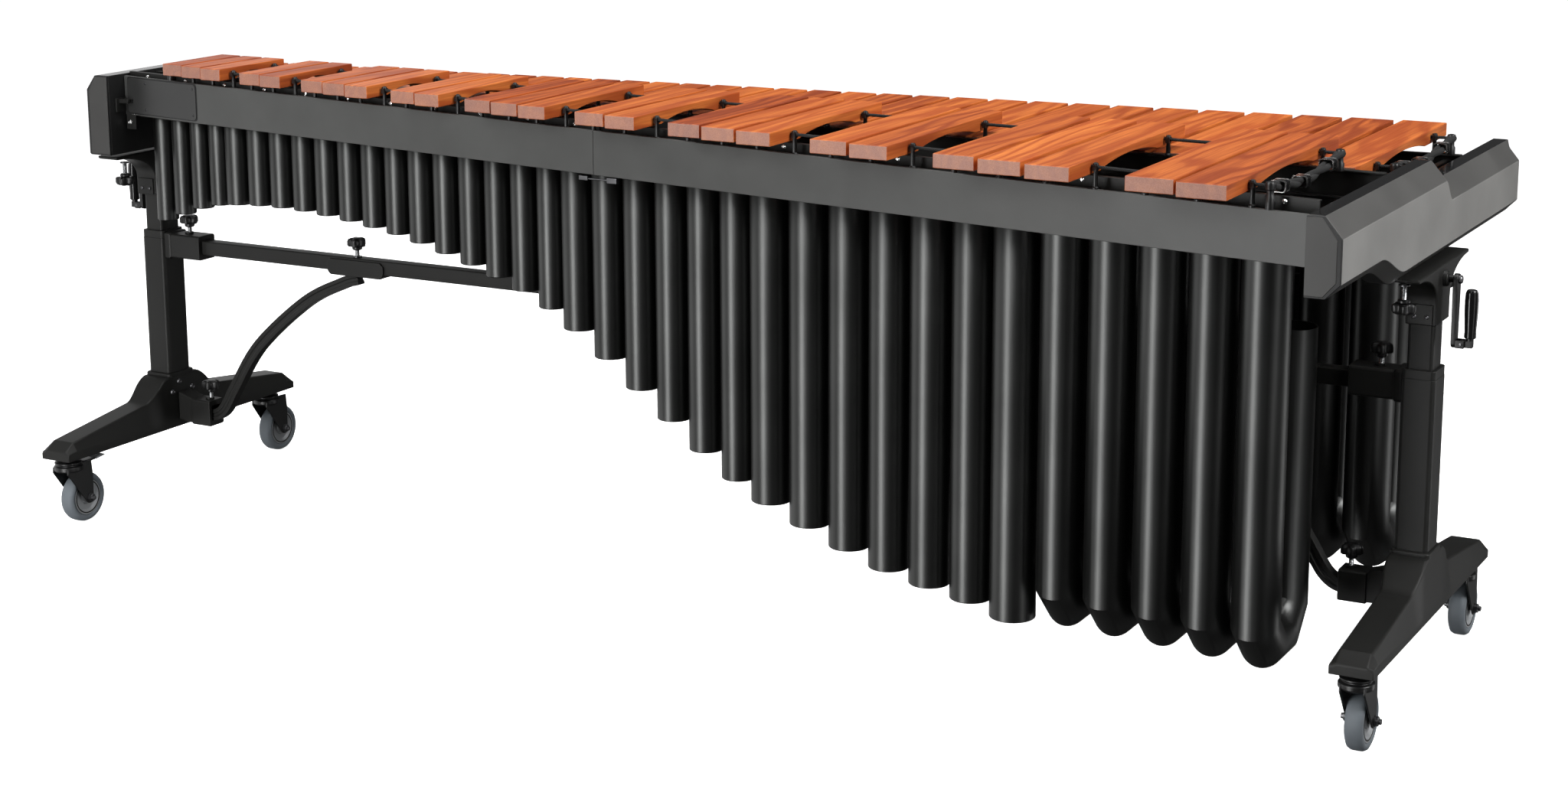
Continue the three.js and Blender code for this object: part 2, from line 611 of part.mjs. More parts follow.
// ---------- stretcher ----------
const hollowBar = (x0, x1) => cut(
  box(x0, x1, COLUMN_Y - BEAM_HALF, COLUMN_Y + BEAM_HALF, BEAM_Z - BEAM_HALF, BEAM_Z + BEAM_HALF),
  box(x0 - 1, x1 + 1, COLUMN_Y - BEAM_HALF + 2.5, COLUMN_Y + BEAM_HALF - 2.5,
    BEAM_Z - BEAM_HALF + 2.5, BEAM_Z + BEAM_HALF - 2.5),
);
add('stretcher_beam', hollowBar(-BEAM_END, BEAM_END), blackFrame);

// A brace is a curved bar from a bracket on the foot to a saddle that grips the beam.
const BRACE_PATH = [[1232, 184], [1200, 185], [1160, 228], [1071, 338], [947, 437], [850, 485], [815, 496]];
const BRACE_SADDLE = [742, 880];
const BRACKET = { x: [1198, 1282.5], z: [152, 216] };

function brace(side) {
  const path = new THREE.CatmullRomCurve3(
    BRACE_PATH.map(([x, z]) => new THREE.Vector3(side * x, COLUMN_Y, z)), false, 'centripetal',
  );
  const corners = [[-11, -12], [11, -12], [11, 12], [-11, 12]];
  const section = new THREE.Shape(corners.map((p) => new THREE.Vector2(...p)));
  const sweep = { steps: 16, extrudePath: path, bevelEnabled: false };
  const bar = solid(new THREE.ExtrudeGeometry(section, sweep));
  const [a, b] = BRACE_SADDLE.map((x) => side * x);
  const clear = BEAM_HALF + GAP;
  const saddle = cut(
    box(a, b, COLUMN_Y - 19, COLUMN_Y + 19, BEAM_Z - 22, BEAM_Z + 10),
    box(a - side, b + side, COLUMN_Y - clear, COLUMN_Y + clear, BEAM_Z - clear, BEAM_Z + 20),
  );
  return join(bar, saddle);
}

// The bracket on the foot takes the brace's lower end.
function braceSocket(side) {
  const [x0, x1] = BRACKET.x.map((x) => side * x);
  const [z0, z1] = BRACKET.z;
  return cut(
    box(x0, x1, COLUMN_Y - 22, COLUMN_Y + 22, z0, z1),
    box(x0 - side, side * 1236, COLUMN_Y - 13, COLUMN_Y + 13, 169, 206),
    rod([side * 1212, COLUMN_Y, 190], [side * 1212, COLUMN_Y, z1 + 1], 5.5, 8),
  );
}

// ---------- knobs ----------
// A star knob on an upright screw. The head is at z, and the screw runs to tip.
function knob(x, y, z, tip) {
  const lobes = 5;
  const outline = Array.from({ length: 2 * lobes }, (_, i) => {
    const angle = Math.PI * i / lobes;
    const radius = i % 2 ? 14 : 20;
    return [x + radius * Math.cos(angle), y + radius * Math.sin(angle)];
  });
  const stem = z > tip ? [tip, z + 1] : [z + 16, tip];
  return join(prism('z', outline, z, z + 17), rod([x, y, stem[0]], [x, y, stem[1]], 4.5, 8));
}

for (const [end, side] of Object.entries(ENDS)) {
  add(`${end}_end_brace`, brace(side), blackFrame);
  add(`${end}_end_brace_socket`, braceSocket(side), blackFrame);
  const beamTop = BEAM_Z + BEAM_HALF + GAP;
  add(`${end}_end_beam_knob`, knob(side * 1248, COLUMN_Y, 572, beamTop), blackPlastic);
  add(`${end}_end_brace_knob`, knob(side * 819, COLUMN_Y, 562, beamTop), blackPlastic);
  add(`${end}_end_foot_knob`, knob(side * 1212, COLUMN_Y, 226, 201), blackPlastic);
  for (const [place, way] of Object.entries({ front: -1, rear: 1 })) {
    const [x, y] = [side * (COLUMN_X - 8), COLUMN_Y + way * 114];
    add(`${end}_${place}_panel_knob`, knob(x, y, 664, WING_BOTTOM - GAP), blackPlastic);
  }
}

export default group;
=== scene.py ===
"""A five-octave concert marimba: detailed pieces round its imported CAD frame. Shapes are in millimetres."""

import math
import random

import bmesh
import bpy
from mathutils import Matrix, Vector


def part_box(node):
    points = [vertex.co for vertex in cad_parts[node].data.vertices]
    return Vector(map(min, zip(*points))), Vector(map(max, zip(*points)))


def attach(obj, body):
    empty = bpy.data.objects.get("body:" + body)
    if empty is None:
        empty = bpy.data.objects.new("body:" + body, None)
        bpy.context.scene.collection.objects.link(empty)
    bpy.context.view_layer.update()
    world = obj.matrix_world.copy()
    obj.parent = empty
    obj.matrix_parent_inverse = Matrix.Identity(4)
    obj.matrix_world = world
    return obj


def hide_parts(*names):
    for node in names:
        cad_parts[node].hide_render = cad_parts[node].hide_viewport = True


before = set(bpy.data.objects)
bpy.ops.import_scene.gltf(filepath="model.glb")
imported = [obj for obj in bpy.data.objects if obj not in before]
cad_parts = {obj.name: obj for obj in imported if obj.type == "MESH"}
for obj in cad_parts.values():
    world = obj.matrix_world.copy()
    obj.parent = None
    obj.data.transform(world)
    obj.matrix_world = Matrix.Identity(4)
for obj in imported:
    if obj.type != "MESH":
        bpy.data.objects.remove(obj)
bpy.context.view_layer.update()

MM = 0.001
random.seed(61)
ENDS = {"high": -1, "low": 1}
FRAME_BODY = "upper_frame"
BASE_BODY = "base"

# ---------- camera ----------
CAMERA_PLACE = (2.4012, -4.1322, 1.5640)
CAMERA_AZIMUTH = math.radians(28.5065)
CAMERA_ELEVATION = math.radians(11.5749)
CAMERA_ROLL = math.radians(-0.1916)
CAMERA_LENS = 61.03
CAMERA_SHIFT = -0.08


def make_camera():
    """The camera looks from beyond the low end, a little down, with its frame shifted down."""
    back = Vector((
        math.sin(CAMERA_AZIMUTH) * math.cos(CAMERA_ELEVATION),
        -math.cos(CAMERA_AZIMUTH) * math.cos(CAMERA_ELEVATION),
        math.sin(CAMERA_ELEVATION),
    ))
    right = Vector((0, 0, 1)).cross(back).normalized()
    up = back.cross(right)
    turn = Matrix.Rotation(CAMERA_ROLL, 3, back)
    camera = bpy.data.objects.new("camera", bpy.data.cameras.new("camera"))
    camera.data.lens = CAMERA_LENS
    camera.data.sensor_width = 36
    camera.data.shift_y = CAMERA_SHIFT
    camera.matrix_world = (
        Matrix.Translation(CAMERA_PLACE) @ Matrix((turn @ right, turn @ up, back)).transposed().to_4x4()
    )
    bpy.context.scene.collection.objects.link(camera)
    bpy.context.scene.camera = camera


# ---------- materials ----------
class Nodes:
    """Adds shader nodes to one material and links them."""

    def __init__(self, name, roughness, metallic=0.0, specular=0.5, coat=0.0):
        self.material = bpy.data.materials.new(name)
        self.material.use_nodes = True
        self.tree = self.material.node_tree
        self.shader = self.tree.nodes["Principled BSDF"]
        self.shader.inputs["Roughness"].default_value = roughness
        self.shader.inputs["Metallic"].default_value = metallic
        self.shader.inputs["Specular IOR Level"].default_value = specular
        self.shader.inputs["Coat Weight"].default_value = coat
        self.shader.inputs["Coat Roughness"].default_value = 0.25

    def add(self, kind, settings=(), **inputs):
        """Makes a node. Settings are its own properties, and inputs are values or other nodes' outputs."""
        node = self.tree.nodes.new(kind)
        for key, value in dict(settings).items():
            setattr(node, key, value)
        for key, value in inputs.items():
            self.set(node.inputs[key.replace("_", " ")], value)
        return node

    def set(self, socket, value):
        if isinstance(value, bpy.types.NodeSocket):
            self.tree.links.new(value, socket)
        else:
            socket.default_value = value

    def place(self, scale=(1, 1, 1), offset=None):
        """Object coordinates, in metres, stretched by a scale."""
        source = self.add("ShaderNodeTexCoord").outputs["Object"]
        mapping = self.add("ShaderNodeMapping", Vector=source, Scale=scale)
        if offset is not None:
            self.set(mapping.inputs["Location"], offset)
        return mapping.outputs["Vector"]

    def noise(self, vector, scale, detail=3.0, roughness=0.55, distortion=0.0):
        node = self.add("ShaderNodeTexNoise", Vector=vector, Scale=scale, Detail=detail,
                        Roughness=roughness, Distortion=distortion)
        return node.outputs["Fac"]

    def ramp(self, factor, stops):
        """Colours along a factor. Stops are (position, colour)."""
        node = self.add("ShaderNodeValToRGB", Fac=factor)
        ramp = node.color_ramp
        while len(ramp.elements) < len(stops):
            ramp.elements.new(0.5)
        for element, (position, colour) in zip(ramp.elements, stops):
            element.position = position
            element.color = (*colour, 1)
        return node.outputs["Color"]

    def mix(self, factor, a, b):
        node = self.add("ShaderNodeMix", {"data_type": "RGBA"})
        self.set(node.inputs["Factor"], factor)
        self.set(node.inputs["A"], a)
        self.set(node.inputs["B"], b)
        return node.outputs["Result"]

    def span(self, value, low, high):
        """A value from 0 to 1, moved to run from low to high."""
        node = self.add("ShaderNodeMapRange", Value=value)
        node.inputs["To Min"].default_value = low
        node.inputs["To Max"].default_value = high
        return node.outputs["Result"]

    def bump(self, height, strength, distance):
        node = self.add("ShaderNodeBump", Height=height, Strength=strength, Distance=distance)
        self.set(self.shader.inputs["Normal"], node.outputs["Normal"])

    def colour(self, value):
        self.set(self.shader.inputs["Base Color"], value)

    def roughness(self, value):
        self.set(self.shader.inputs["Roughness"], value)


def shade(colour, factor):
    """A colour made darker or lighter by a factor."""
    return tuple(channel * factor for channel in colour)


COAT_CLOUD = 0.12        # how far a coat's colour varies


def coated(name, colour, roughness, specular, grain=900.0, bump=0.12):
    """Powder coat or moulded plastic: a fine orange-peel surface with slight cloudiness."""
    nodes = Nodes(name, roughness, 0.0, specular)
    cloud = nodes.noise(nodes.place(), 9.0, 4.0)
    dark, light = shade(colour, 1 - COAT_CLOUD), shade(colour, 1 + COAT_CLOUD)
    nodes.colour(nodes.ramp(cloud, [(0.3, dark), (0.7, light)]))
    nodes.roughness(nodes.span(cloud, roughness - 0.04, roughness + 0.05))
    nodes.bump(nodes.noise(nodes.place(), grain, 2.0), bump, 0.0004)
    return nodes.material


def anodised(name, colour, roughness):
    """Satin tube: metal with faint streaks drawn along its length."""
    nodes = Nodes(name, roughness, 1.0, 0.5)
    streaks = nodes.noise(nodes.place((260, 260, 2.5)), 1.0, 3.0)
    cloud = nodes.noise(nodes.place(), 6.0, 3.0)
    nodes.colour(nodes.ramp(cloud, [(0.3, shade(colour, 0.9)), (0.7, shade(colour, 1.12))]))
    nodes.roughness(nodes.span(streaks, roughness - 0.02, roughness + 0.03))
    nodes.bump(streaks, 0.015, 0.0003)
    return nodes.material


def brushed(name, colour, roughness):
    """Bare metal with fine scratches across it."""
    nodes = Nodes(name, roughness, 1.0)
    scratches = nodes.noise(nodes.place((40, 900, 900)), 1.0, 2.0)
    nodes.colour(nodes.ramp(scratches, [(0.3, shade(colour, 0.85)), (0.7, colour)]))
    nodes.roughness(nodes.span(scratches, roughness - 0.08, roughness + 0.08))
    return nodes.material


def braided(name, colour):
    """A tight diagonal braid, for cords and elastic straps."""
    nodes = Nodes(name, 0.8, 0.0, 0.3)
    strands = nodes.add("ShaderNodeTexWave", {"bands_direction": "DIAGONAL"}, Vector=nodes.place(),
                        Scale=190.0, Distortion=1.0).outputs["Fac"]
    # The colour follows the strands' relief: darker in the grooves and lighter on the crests, as painted
    # shade and highlight.
    nodes.colour(nodes.ramp(strands, [(0.2, shade(colour, 0.5)), (0.8, shade(colour, 1.5))]))
    nodes.bump(strands, 0.5, 0.0006)
    return nodes.material


TONE = "tone"            # each bar's attributes: its tone, and its place in the grain
GRAIN_OFFSET = "grain"
PALE_WOOD = (0.74, 0.235, 0.05)
MID_WOOD = (0.46, 0.095, 0.018)
DARK_WOOD = (0.17, 0.024, 0.006)
END_WOOD = (0.36, 0.205, 0.16)


def greys(*stops):
    """Grey stops for a ramp, from (position, value)."""
    return [(place, (value, value, value)) for place, value in stops]


def rosewood(end_grain):
    """Oiled rosewood. Each bar carries its own tone, from dark to pale, and its own place in the grain."""
    nodes = Nodes("rosewood_end" if end_grain else "rosewood", 0.42, 0.0, 0.3, coat=0.06)
    tone = nodes.add("ShaderNodeAttribute", {"attribute_name": TONE}).outputs["Fac"]
    offset = nodes.add("ShaderNodeAttribute", {"attribute_name": GRAIN_OFFSET}).outputs["Vector"]
    bend = nodes.add("ShaderNodeTexNoise", Vector=nodes.place((11, 1.6, 11), offset), Scale=1.0, Detail=2.0)
    flow = nodes.add("ShaderNodeVectorMath", {"operation": "MULTIPLY_ADD"})
    nodes.set(flow.inputs[0], bend.outputs["Color"])
    flow.inputs[1].default_value = (3.2, 0.4, 3.2)
    nodes.set(flow.inputs[2], nodes.place((16, 0.9, 16), offset))
    waves = nodes.add("ShaderNodeTexWave", {"bands_direction": "X", "wave_profile": "SIN"}, Scale=0.62,
                      Vector=flow.outputs["Vector"], Distortion=2.5, Detail=2.0, Detail_Scale=1.6)
    rings = waves.outputs["Fac"]
    streaks = nodes.noise(nodes.place((70, 1.7, 70), offset), 1.0, 4.0, 0.6, 0.4)
    fibres = nodes.noise(nodes.place((330, 7, 330), offset), 1.0, 4.0)
    pores = nodes.noise(nodes.place((620, 22, 620), offset), 1.0, 2.0)
    light = nodes.mix(tone, (*MID_WOOD, 1), (*PALE_WOOD, 1))
    dark = nodes.mix(tone, (*DARK_WOOD, 1), (*MID_WOOD, 1))
    lines = nodes.ramp(rings, greys((0.0, 1.0), (0.25, 0.68), (0.55, 0.15), (1.0, 0.0)))
    bands = nodes.ramp(streaks, greys((0.36, 0.0), (0.5, 0.35), (0.66, 0.9)))
    body = nodes.mix(lines, light, dark)
    body = nodes.mix(bands, body, dark)
    body = nodes.mix(nodes.span(fibres, -0.6, 1.1), body, nodes.mix(0.5, dark, (*DARK_WOOD, 1)))
    if end_grain:
        speckle = nodes.noise(nodes.place((700, 60, 700), offset), 1.0, 3.0)
        face = nodes.ramp(speckle, [(0.35, shade(END_WOOD, 0.72)), (0.65, END_WOOD)])
        body = nodes.mix(0.25, face, body)
        nodes.shader.inputs["Coat Weight"].default_value = 0.0
    nodes.colour(body)
    nodes.roughness(nodes.span(fibres, 0.34, 0.55))
    nodes.bump(pores, 0.12, 0.0005)
    return nodes.material


RAIL_GREY = (0.05, 0.0508, 0.0488)
PANEL_GREY = (0.192, 0.189, 0.182)
FRAME_BLACK = (0.0105, 0.0105, 0.0098)
DEEP_BLACK = (0.005, 0.005, 0.0052)
# Each coat: colour, roughness, specular level, and where it isn't the usual, the grain's scale and bump.
COATS = {
    "rail_grey": (RAIL_GREY, 0.44, 0.38),
    "panel_grey": (PANEL_GREY, 0.4, 0.5),
    # The next two are darker copies of the panel grey: painted shade for the panel's faces that turn from
    # the light.
    "panel_painted_shade": (shade(PANEL_GREY, 0.2), 0.4, 0.35),
    "panel_shoulder_painted_shade": (shade(PANEL_GREY, 0.37), 0.4, 0.5),
    "frame_black": (FRAME_BLACK, 0.44, 0.25, 700.0, 0.2),
    "deep_black": (DEEP_BLACK, 0.5, 0.4),
    "plastic_black": (DEEP_BLACK, 0.35, 0.5, 1500.0, 0.08),
    "gloss_black": (DEEP_BLACK, 0.16, 0.4, 300.0, 0.02),
    "tread_grey": ((0.125, 0.142, 0.158), 0.6, 0.4, 500.0, 0.1),
    "hub_grey": ((0.27, 0.28, 0.29), 0.5, 0.45),
    "badge": ((0.026, 0.0262, 0.0258), 0.38, 0.35, 2000.0, 0.03),
}
# Each metal: colour and roughness.
METALS = {
    "steel": ((0.62, 0.63, 0.64), 0.28),
    "dark_steel": ((0.12, 0.12, 0.125), 0.35),
    "silver": ((0.78, 0.78, 0.77), 0.2),
}
MATERIALS = {
    "tube_black": anodised("tube_black", (0.062, 0.063, 0.062), 0.37),
    "cord": braided("cord", (0.012, 0.012, 0.012)),
    "wood": rosewood(False),
    "wood_end": rosewood(True),
}
MATERIALS.update((name, coated(name, *coat)) for name, coat in COATS.items())
MATERIALS.update((name, brushed(name, *metal)) for name, metal in METALS.items())


# ---------- geometry ----------
AXES = {
    "x": lambda a, b, at: (at, a, b),
    "y": lambda a, b, at: (a, at, b),
    "z": lambda a, b, at: (a, b, at),
}


def circle(radius, steps, turn=0.0):
    """Points (a, b) round a circle."""
    angles = [turn + 2 * math.pi * k / steps for k in range(steps)]
    return [(radius * math.cos(angle), radius * math.sin(angle)) for angle in angles]


def frame_round(direction):
    """Two unit vectors square to a direction. The first is level where it can be."""
    direction = Vector(direction).normalized()
    side = Vector((0, 0, 1)).cross(direction)
    if side.length < 1e-4:
        side = Vector((1, 0, 0))
    side.normalize()
    return side, direction.cross(side)


def rounded(half_a, half_b, radius, steps=4):
    """A rectangle (a, b) with round corners, about its middle."""
    points = []
    for quarter, (sign_a, sign_b) in enumerate([(1, 1), (-1, 1), (-1, -1), (1, -1)]):
        centre = (sign_a * (half_a - radius), sign_b * (half_b - radius))
        for k in range(steps + 1):
            angle = math.pi / 2 * (quarter + k / steps)
            points.append((centre[0] + radius * math.cos(angle), centre[1] + radius * math.sin(angle)))
    return points


class Build:
    """Gathers closed shapes in millimetres and makes one object of them."""

    def __init__(self, material):
        self.mesh = bmesh.new()
        self.slots = []
        self.use(material)

    def use(self, material):
        """Shapes added from here on have this material."""
        if material not in self.slots:
            self.slots.append(material)
        self.slot = self.slots.index(material)
        return self

    def loft(self, rings, wrap=False, bands=None):
        """Skins rings of equal count. The ends are capped, or joined to each other where wrap is set.

        bands names a material for each side, starting with the one before the ring's first point.
        """
        made = [[self.mesh.verts.new(point) for point in ring] for ring in rings]
        own = self.slot
        slots = [own] * len(rings[0])
        if bands:
            slots = [self.use(band).slot for band in bands]
            self.slot = own
        for lower, upper in zip(made, made[1:] + made[:1] if wrap else made[1:]):
            for k, slot in enumerate(slots):
                face = self.mesh.faces.new((lower[k - 1], lower[k], upper[k], upper[k - 1]))
                face.material_index = slot
        if not wrap:
            for ring in (made[0][::-1], made[-1]):
                self.mesh.faces.new(ring).material_index = own
        return self

    def prism(self, axis, outline, low, high):
        """An outline swept along an axis: (y, z) along x, (x, z) along y, (x, y) along z."""
        place = AXES[axis]
        return self.loft([[place(a, b, at) for a, b in outline] for at in sorted((low, high))])

    def sleeve(self, axis, middle, start, end, outer, inner):
        """A tube open at both ends, between an outer and an inner outline about its middle line."""
        place = AXES[axis]
        return self.loft([
            [place(middle[0] + a, middle[1] + b, at) for a, b in ring]
            for at, ring in ((start, outer), (end, outer), (end, inner), (start, inner))
        ], wrap=True)

    def box(self, x0, x1, y0, y1, z0, z1):
        """A box between two limits along each axis, in either order."""
        x0, x1 = sorted((x0, x1))
        y0, y1 = sorted((y0, y1))
        return self.prism("z", [(x0, y0), (x1, y0), (x1, y1), (x0, y1)], z0, z1)

    def lathe(self, origin, axis, profile, steps=32, wrap=False):
        """Turns a profile of (radius, height) round an axis through the origin."""
        origin, axis = Vector(origin), Vector(axis).normalized()
        side, other = frame_round(axis)
        rings = [
            [origin + axis * height + side * a + other * b for a, b in circle(radius, steps)]
            for radius, height in profile
        ]
        return self.loft(rings, wrap)

    def turn(self, x, y, profile, steps):
        """Turns a profile of (radius, z) round an upright axis."""
        return self.lathe((x, y, 0), (0, 0, 1), profile, steps)

    def rod(self, start, end, radius, steps=20, end_radius=None):
        """A round rod between two points. It narrows or widens where it has an end radius."""
        length = (Vector(end) - Vector(start)).length
        profile = [(radius, 0), (radius if end_radius is None else end_radius, length)]
        return self.lathe(start, Vector(end) - Vector(start), profile, steps)

    def sweep(self, path, section):
        """Sweeps a section (a level, b upright) along a path."""
        path = [Vector(point) for point in path]
        rings = []
        for k, point in enumerate(path):
            direction = path[min(k + 1, len(path) - 1)] - path[max(k - 1, 0)]
            side, other = frame_round(direction)
            rings.append([point + side * a + other * b for a, b in section])
        return self.loft(rings)

    def star(self, centre, radius, height, lobes=5):
        """A star knob's head: round lobes with hollows between them, crowned on top."""
        steps = 10 * lobes
        rings = []
        for share, rise in [(0.86, 0.0), (1.0, 0.12), (1.0, 0.62), (0.9, 0.86), (0.62, 1.0)]:
            ring = []
            for k in range(steps):
                angle = 2 * math.pi * k / steps
                reach = radius * share * (0.84 + 0.16 * math.cos(lobes * angle))
                ring.append((
                    centre[0] + reach * math.cos(angle),
                    centre[1] + reach * math.sin(angle),
                    centre[2] + height * rise,
                ))
            rings.append(ring)
        return self.loft(rings)

    def screw(self, centre, axis, radius=4.0, height=2.2):
        """A button-head screw with a socket, on a face whose normal is the axis."""
        profile = [
            (radius, -1), (radius, 0.3 * height), (0.75 * radius, 0.85 * height),
            (0.45 * radius, height), (0.42 * radius, 0.4 * height),
        ]
        return self.lathe(centre, axis, profile, 16)

    def object(self, name, body, bevel=0.0, segments=2, replaces=(), slot=None, sharp=35.0):
        """Makes the object, in metres, and lets it ride on its CAD body."""
        bmesh.ops.recalc_face_normals(self.mesh, faces=self.mesh.faces)
        bmesh.ops.scale(self.mesh, vec=(MM, MM, MM), verts=self.mesh.verts)
        for face in self.mesh.faces:
            face.smooth = True
        data = bpy.data.meshes.new(name)
        self.mesh.to_mesh(data)
        self.mesh.free()
        for slot_name in self.slots:
            data.materials.append(MATERIALS[slot_name])
        if not bevel:
            data.set_sharp_from_angle(angle=math.radians(sharp))
        made = bpy.data.objects.new(name, data)
        bpy.context.scene.collection.objects.link(made)
        if bevel:
            modifier = made.modifiers.new("edges", "BEVEL")
            modifier.width = bevel * MM
            modifier.segments = segments
            modifier.limit_method = "ANGLE"
            modifier.angle_limit = math.radians(sharp)
            made.modifiers.new("normals", "WEIGHTED_NORMAL")
        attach(made, body)
        if replaces:
            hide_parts(*replaces)
        return made


# ---------- what the frame says ----------
def node_box(name):
    """A CAD node's lowest and highest corners, in millimetres."""
    low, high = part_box(name)
    return low / MM, high / MM


def top_patches(name, height):
    """The separate flat patches of a CAD node at a height, as corner pairs in mm, from the low end."""
    mesh = bmesh.new()
    mesh.from_mesh(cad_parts[name].data)
    bmesh.ops.remove_doubles(mesh, verts=mesh.verts, dist=1e-5)
    flat = {face for face in mesh.faces if all(abs(v.co.z / MM - height) < 0.1 for v in face.verts)}
    patches = []
    while flat:
        todo, corners = [flat.pop()], []
        while todo:
            face = todo.pop()
            corners.extend(v.co / MM for v in face.verts)
            near = {other for v in face.verts for other in v.link_faces} & flat
            flat -= near
            todo.extend(near)
        low = Vector(map(min, *corners))
        high = Vector(map(max, *corners))
        patches.append((low, high))
    mesh.free()
    return sorted(patches, key=lambda patch: -patch[1].x)


def plan_line(name, pick):
    """A rail's edge in plan as a function y(x). pick is min for the audience side, max for the far side."""
    low, high = node_box(name)
    points = [vertex.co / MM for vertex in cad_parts[name].data.vertices]
    y0 = pick(point.y for point in points if abs(point.x - low.x) < 0.1)
    y1 = pick(point.y for point in points if abs(point.x - high.x) < 0.1)
    return lambda x: y0 + (y1 - y0) * (x - low.x) / (high.x - low.x)


# ---------- bars ----------
NOTE_NAMES = {"natural": "CDEFGAB", "accidental": "CDFGA"}
NODE_SHARE = 0.19        # where a bar's still point lies, from each end
CORD_RADIUS = 2.6
CORD_DROP = 11.5         # from a bar's top to its cord
ARCH_START = 0.25        # where a bar's underside leaves the flat, from each end
ARCH_DEPTH = 0.5
CORD_HOLE = 4.2


def bar_object(name, low, high, replaces):
    """One bar, with a tuned arch underneath and black plugs through its sides that paint the shade inside
    its cord holes.
    """
    length, thickness = high.y - low.y, high.z - low.z
    outline = [(low.y, low.z)]
    steps = 14
    for k in range(steps + 1):
        share = k / steps
        rise = ARCH_DEPTH * thickness * math.sin(math.pi * share) ** 0.8
        outline.append((low.y + length * (ARCH_START + (1 - 2 * ARCH_START) * share), low.z + rise))
    outline += [(high.y, low.z), (high.y, high.z), (low.y, high.z)]
    bar = Build("wood").prism("x", outline, low.x, high.x)
    bar.use("wood_end")
    for face in bar.mesh.faces:
        face.normal_update()
        if abs(face.normal.y) > 0.9:
            face.material_index = bar.slot
    # Painted shade: a black plug through each cord hole stands for the shaded inside of the hole round the
    # cord.
    bar.use("deep_black")
    for share in (NODE_SHARE, 1 - NODE_SHARE):
        centre = (low.x - 0.3, low.y + share * length, high.z - CORD_DROP)
        bar.rod(centre, (high.x + 0.3, centre[1], centre[2]), CORD_HOLE, 16)
    made = bar.object(name, FRAME_BODY, bevel=1.6, segments=3, replaces=replaces, slot="rosewood")
    tone = made.data.attributes.new(TONE, "FLOAT", "POINT")
    grain = made.data.attributes.new(GRAIN_OFFSET, "FLOAT_VECTOR", "POINT")
    count = len(made.data.vertices)
    tone.data.foreach_set("value", [random.betavariate(1.6, 1.6)] * count)
    grain.data.foreach_set("vector", [random.uniform(-9, 9) for _ in range(3)] * count)
    return made


def bar_rows():
    """Builds every bar. Returns each row's bars as (low corner, high corner), from the low end."""
    rows = {}
    for row, letters in NOTE_NAMES.items():
        bars = []
        for half in ("low", "high"):
            node = f"{half}_{row}_bars"
            low, high = node_box(node)
            for k, patch in enumerate(top_patches(node, high.z)):
                corner = Vector((patch[0].x, patch[0].y, low.z))
                octave, step = divmod(len(bars), len(letters))
                note = letters[step] + ("sharp" if row == "accidental" else "") + str(octave + 2)
                bar_object(f"bar_{note}", corner, patch[1], [node] if k == 0 else [])
                bars.append((corner, patch[1]))
        rows[row] = bars
    return rows


def cord_line(bars, share):
    """The points where a row's cord crosses its bars' middles."""
    return [
        Vector(((low.x + high.x) / 2, low.y + share * (high.y - low.y), high.z - CORD_DROP))
        for low, high in bars
    ]


def cord_at(line, x):
    """The point of a cord line above or below x. The end stretches run on straight."""
    for a, b in zip(line, line[1:]):
        if b.x <= x:
            break
    return a + (b - a) * (x - a.x) / (b.x - a.x)


# ---------- cords and posts ----------
POST_RADIUS = 3.4
LOW_POST_OFFSETS = (6, 34)       # the two low posts of a line, from the lowest bar's side
HIGH_POST_OFFSET = 14            # the last post, from the highest bar's side
WIDE_GAP = 25                    # a gap this wide has a post beside each of its bars
POST_FROM_BAR = 7


def post(build, point, foot):
    """A cord post: a footed stem with a notched cap that the cord lies in."""
    x, y, z = point
    build.turn(x, y, [
        (5.6, foot), (5.6, foot + 3), (POST_RADIUS + 0.6, foot + 5), (POST_RADIUS, z - 6),
        (4.6, z - 4), (4.8, z + 3), (4.0, z + 6), (1.5, z + 7),
    ], 16)
    build.box(x - 3.2, x + 3.2, y - 6.5, y + 6.5, z - 5.5, z + 3.2)


def end_post(build, point, foot):
    """A stout round post with a waisted rubber cap, where a cord line ends."""
    x, y, z = point
    build.turn(x, y, [
        (7.0, foot), (7.0, z - 16), (5.2, z - 13), (5.2, z - 7),
        (7.4, z - 5), (7.6, z + 3), (6.4, z + 6), (3.0, z + 7),
    ], 24)


def make_cords(rows):
    """Cords through the bars, a post in every gap, and buckled straps joining each row's two cords."""
    rails = {
        "accidental": ("low_front_fascia", "accidental_inner_rail"),
        "natural": ("natural_inner_rail", "low_rear_rail"),
    }
    for row, bars in rows.items():
        ends = []
        for share, side, rail in zip((NODE_SHARE, 1 - NODE_SHARE), ("near", "far"), rails[row]):
            line = cord_line(bars, share)
            rail_top = node_box(rail)[1].z
            posts = Build("plastic_black")
            for (low, _), (_, high) in zip(bars, bars[1:]):
                gap = low.x - high.x
                beside = [high.x + POST_FROM_BAR, low.x - POST_FROM_BAR]
                spots = [high.x + gap / 2] if gap < WIDE_GAP else beside
                for x in spots:
                    post(posts, cord_at(line, x), rail_top)
            first, last = bars[0][1].x, bars[-1][0].x
            low_posts = [cord_at(line, first + offset) for offset in LOW_POST_OFFSETS]
            post(posts, low_posts[0], rail_top)
            end_post(posts, low_posts[1], rail_top)
            high_point = cord_at(line, last - HIGH_POST_OFFSET)
            end_post(posts, high_point, rail_top)
            posts.object(f"{row}_{side}_posts", FRAME_BODY, slot="black_plastic")
            cord = Build("cord").sweep([low_posts[1], *line, high_point], circle(CORD_RADIUS, 12))
            cord.object(f"{row}_{side}_cord", FRAME_BODY, slot="black_plastic")
            ends.append(low_posts[1])
        strap(row, *ends)


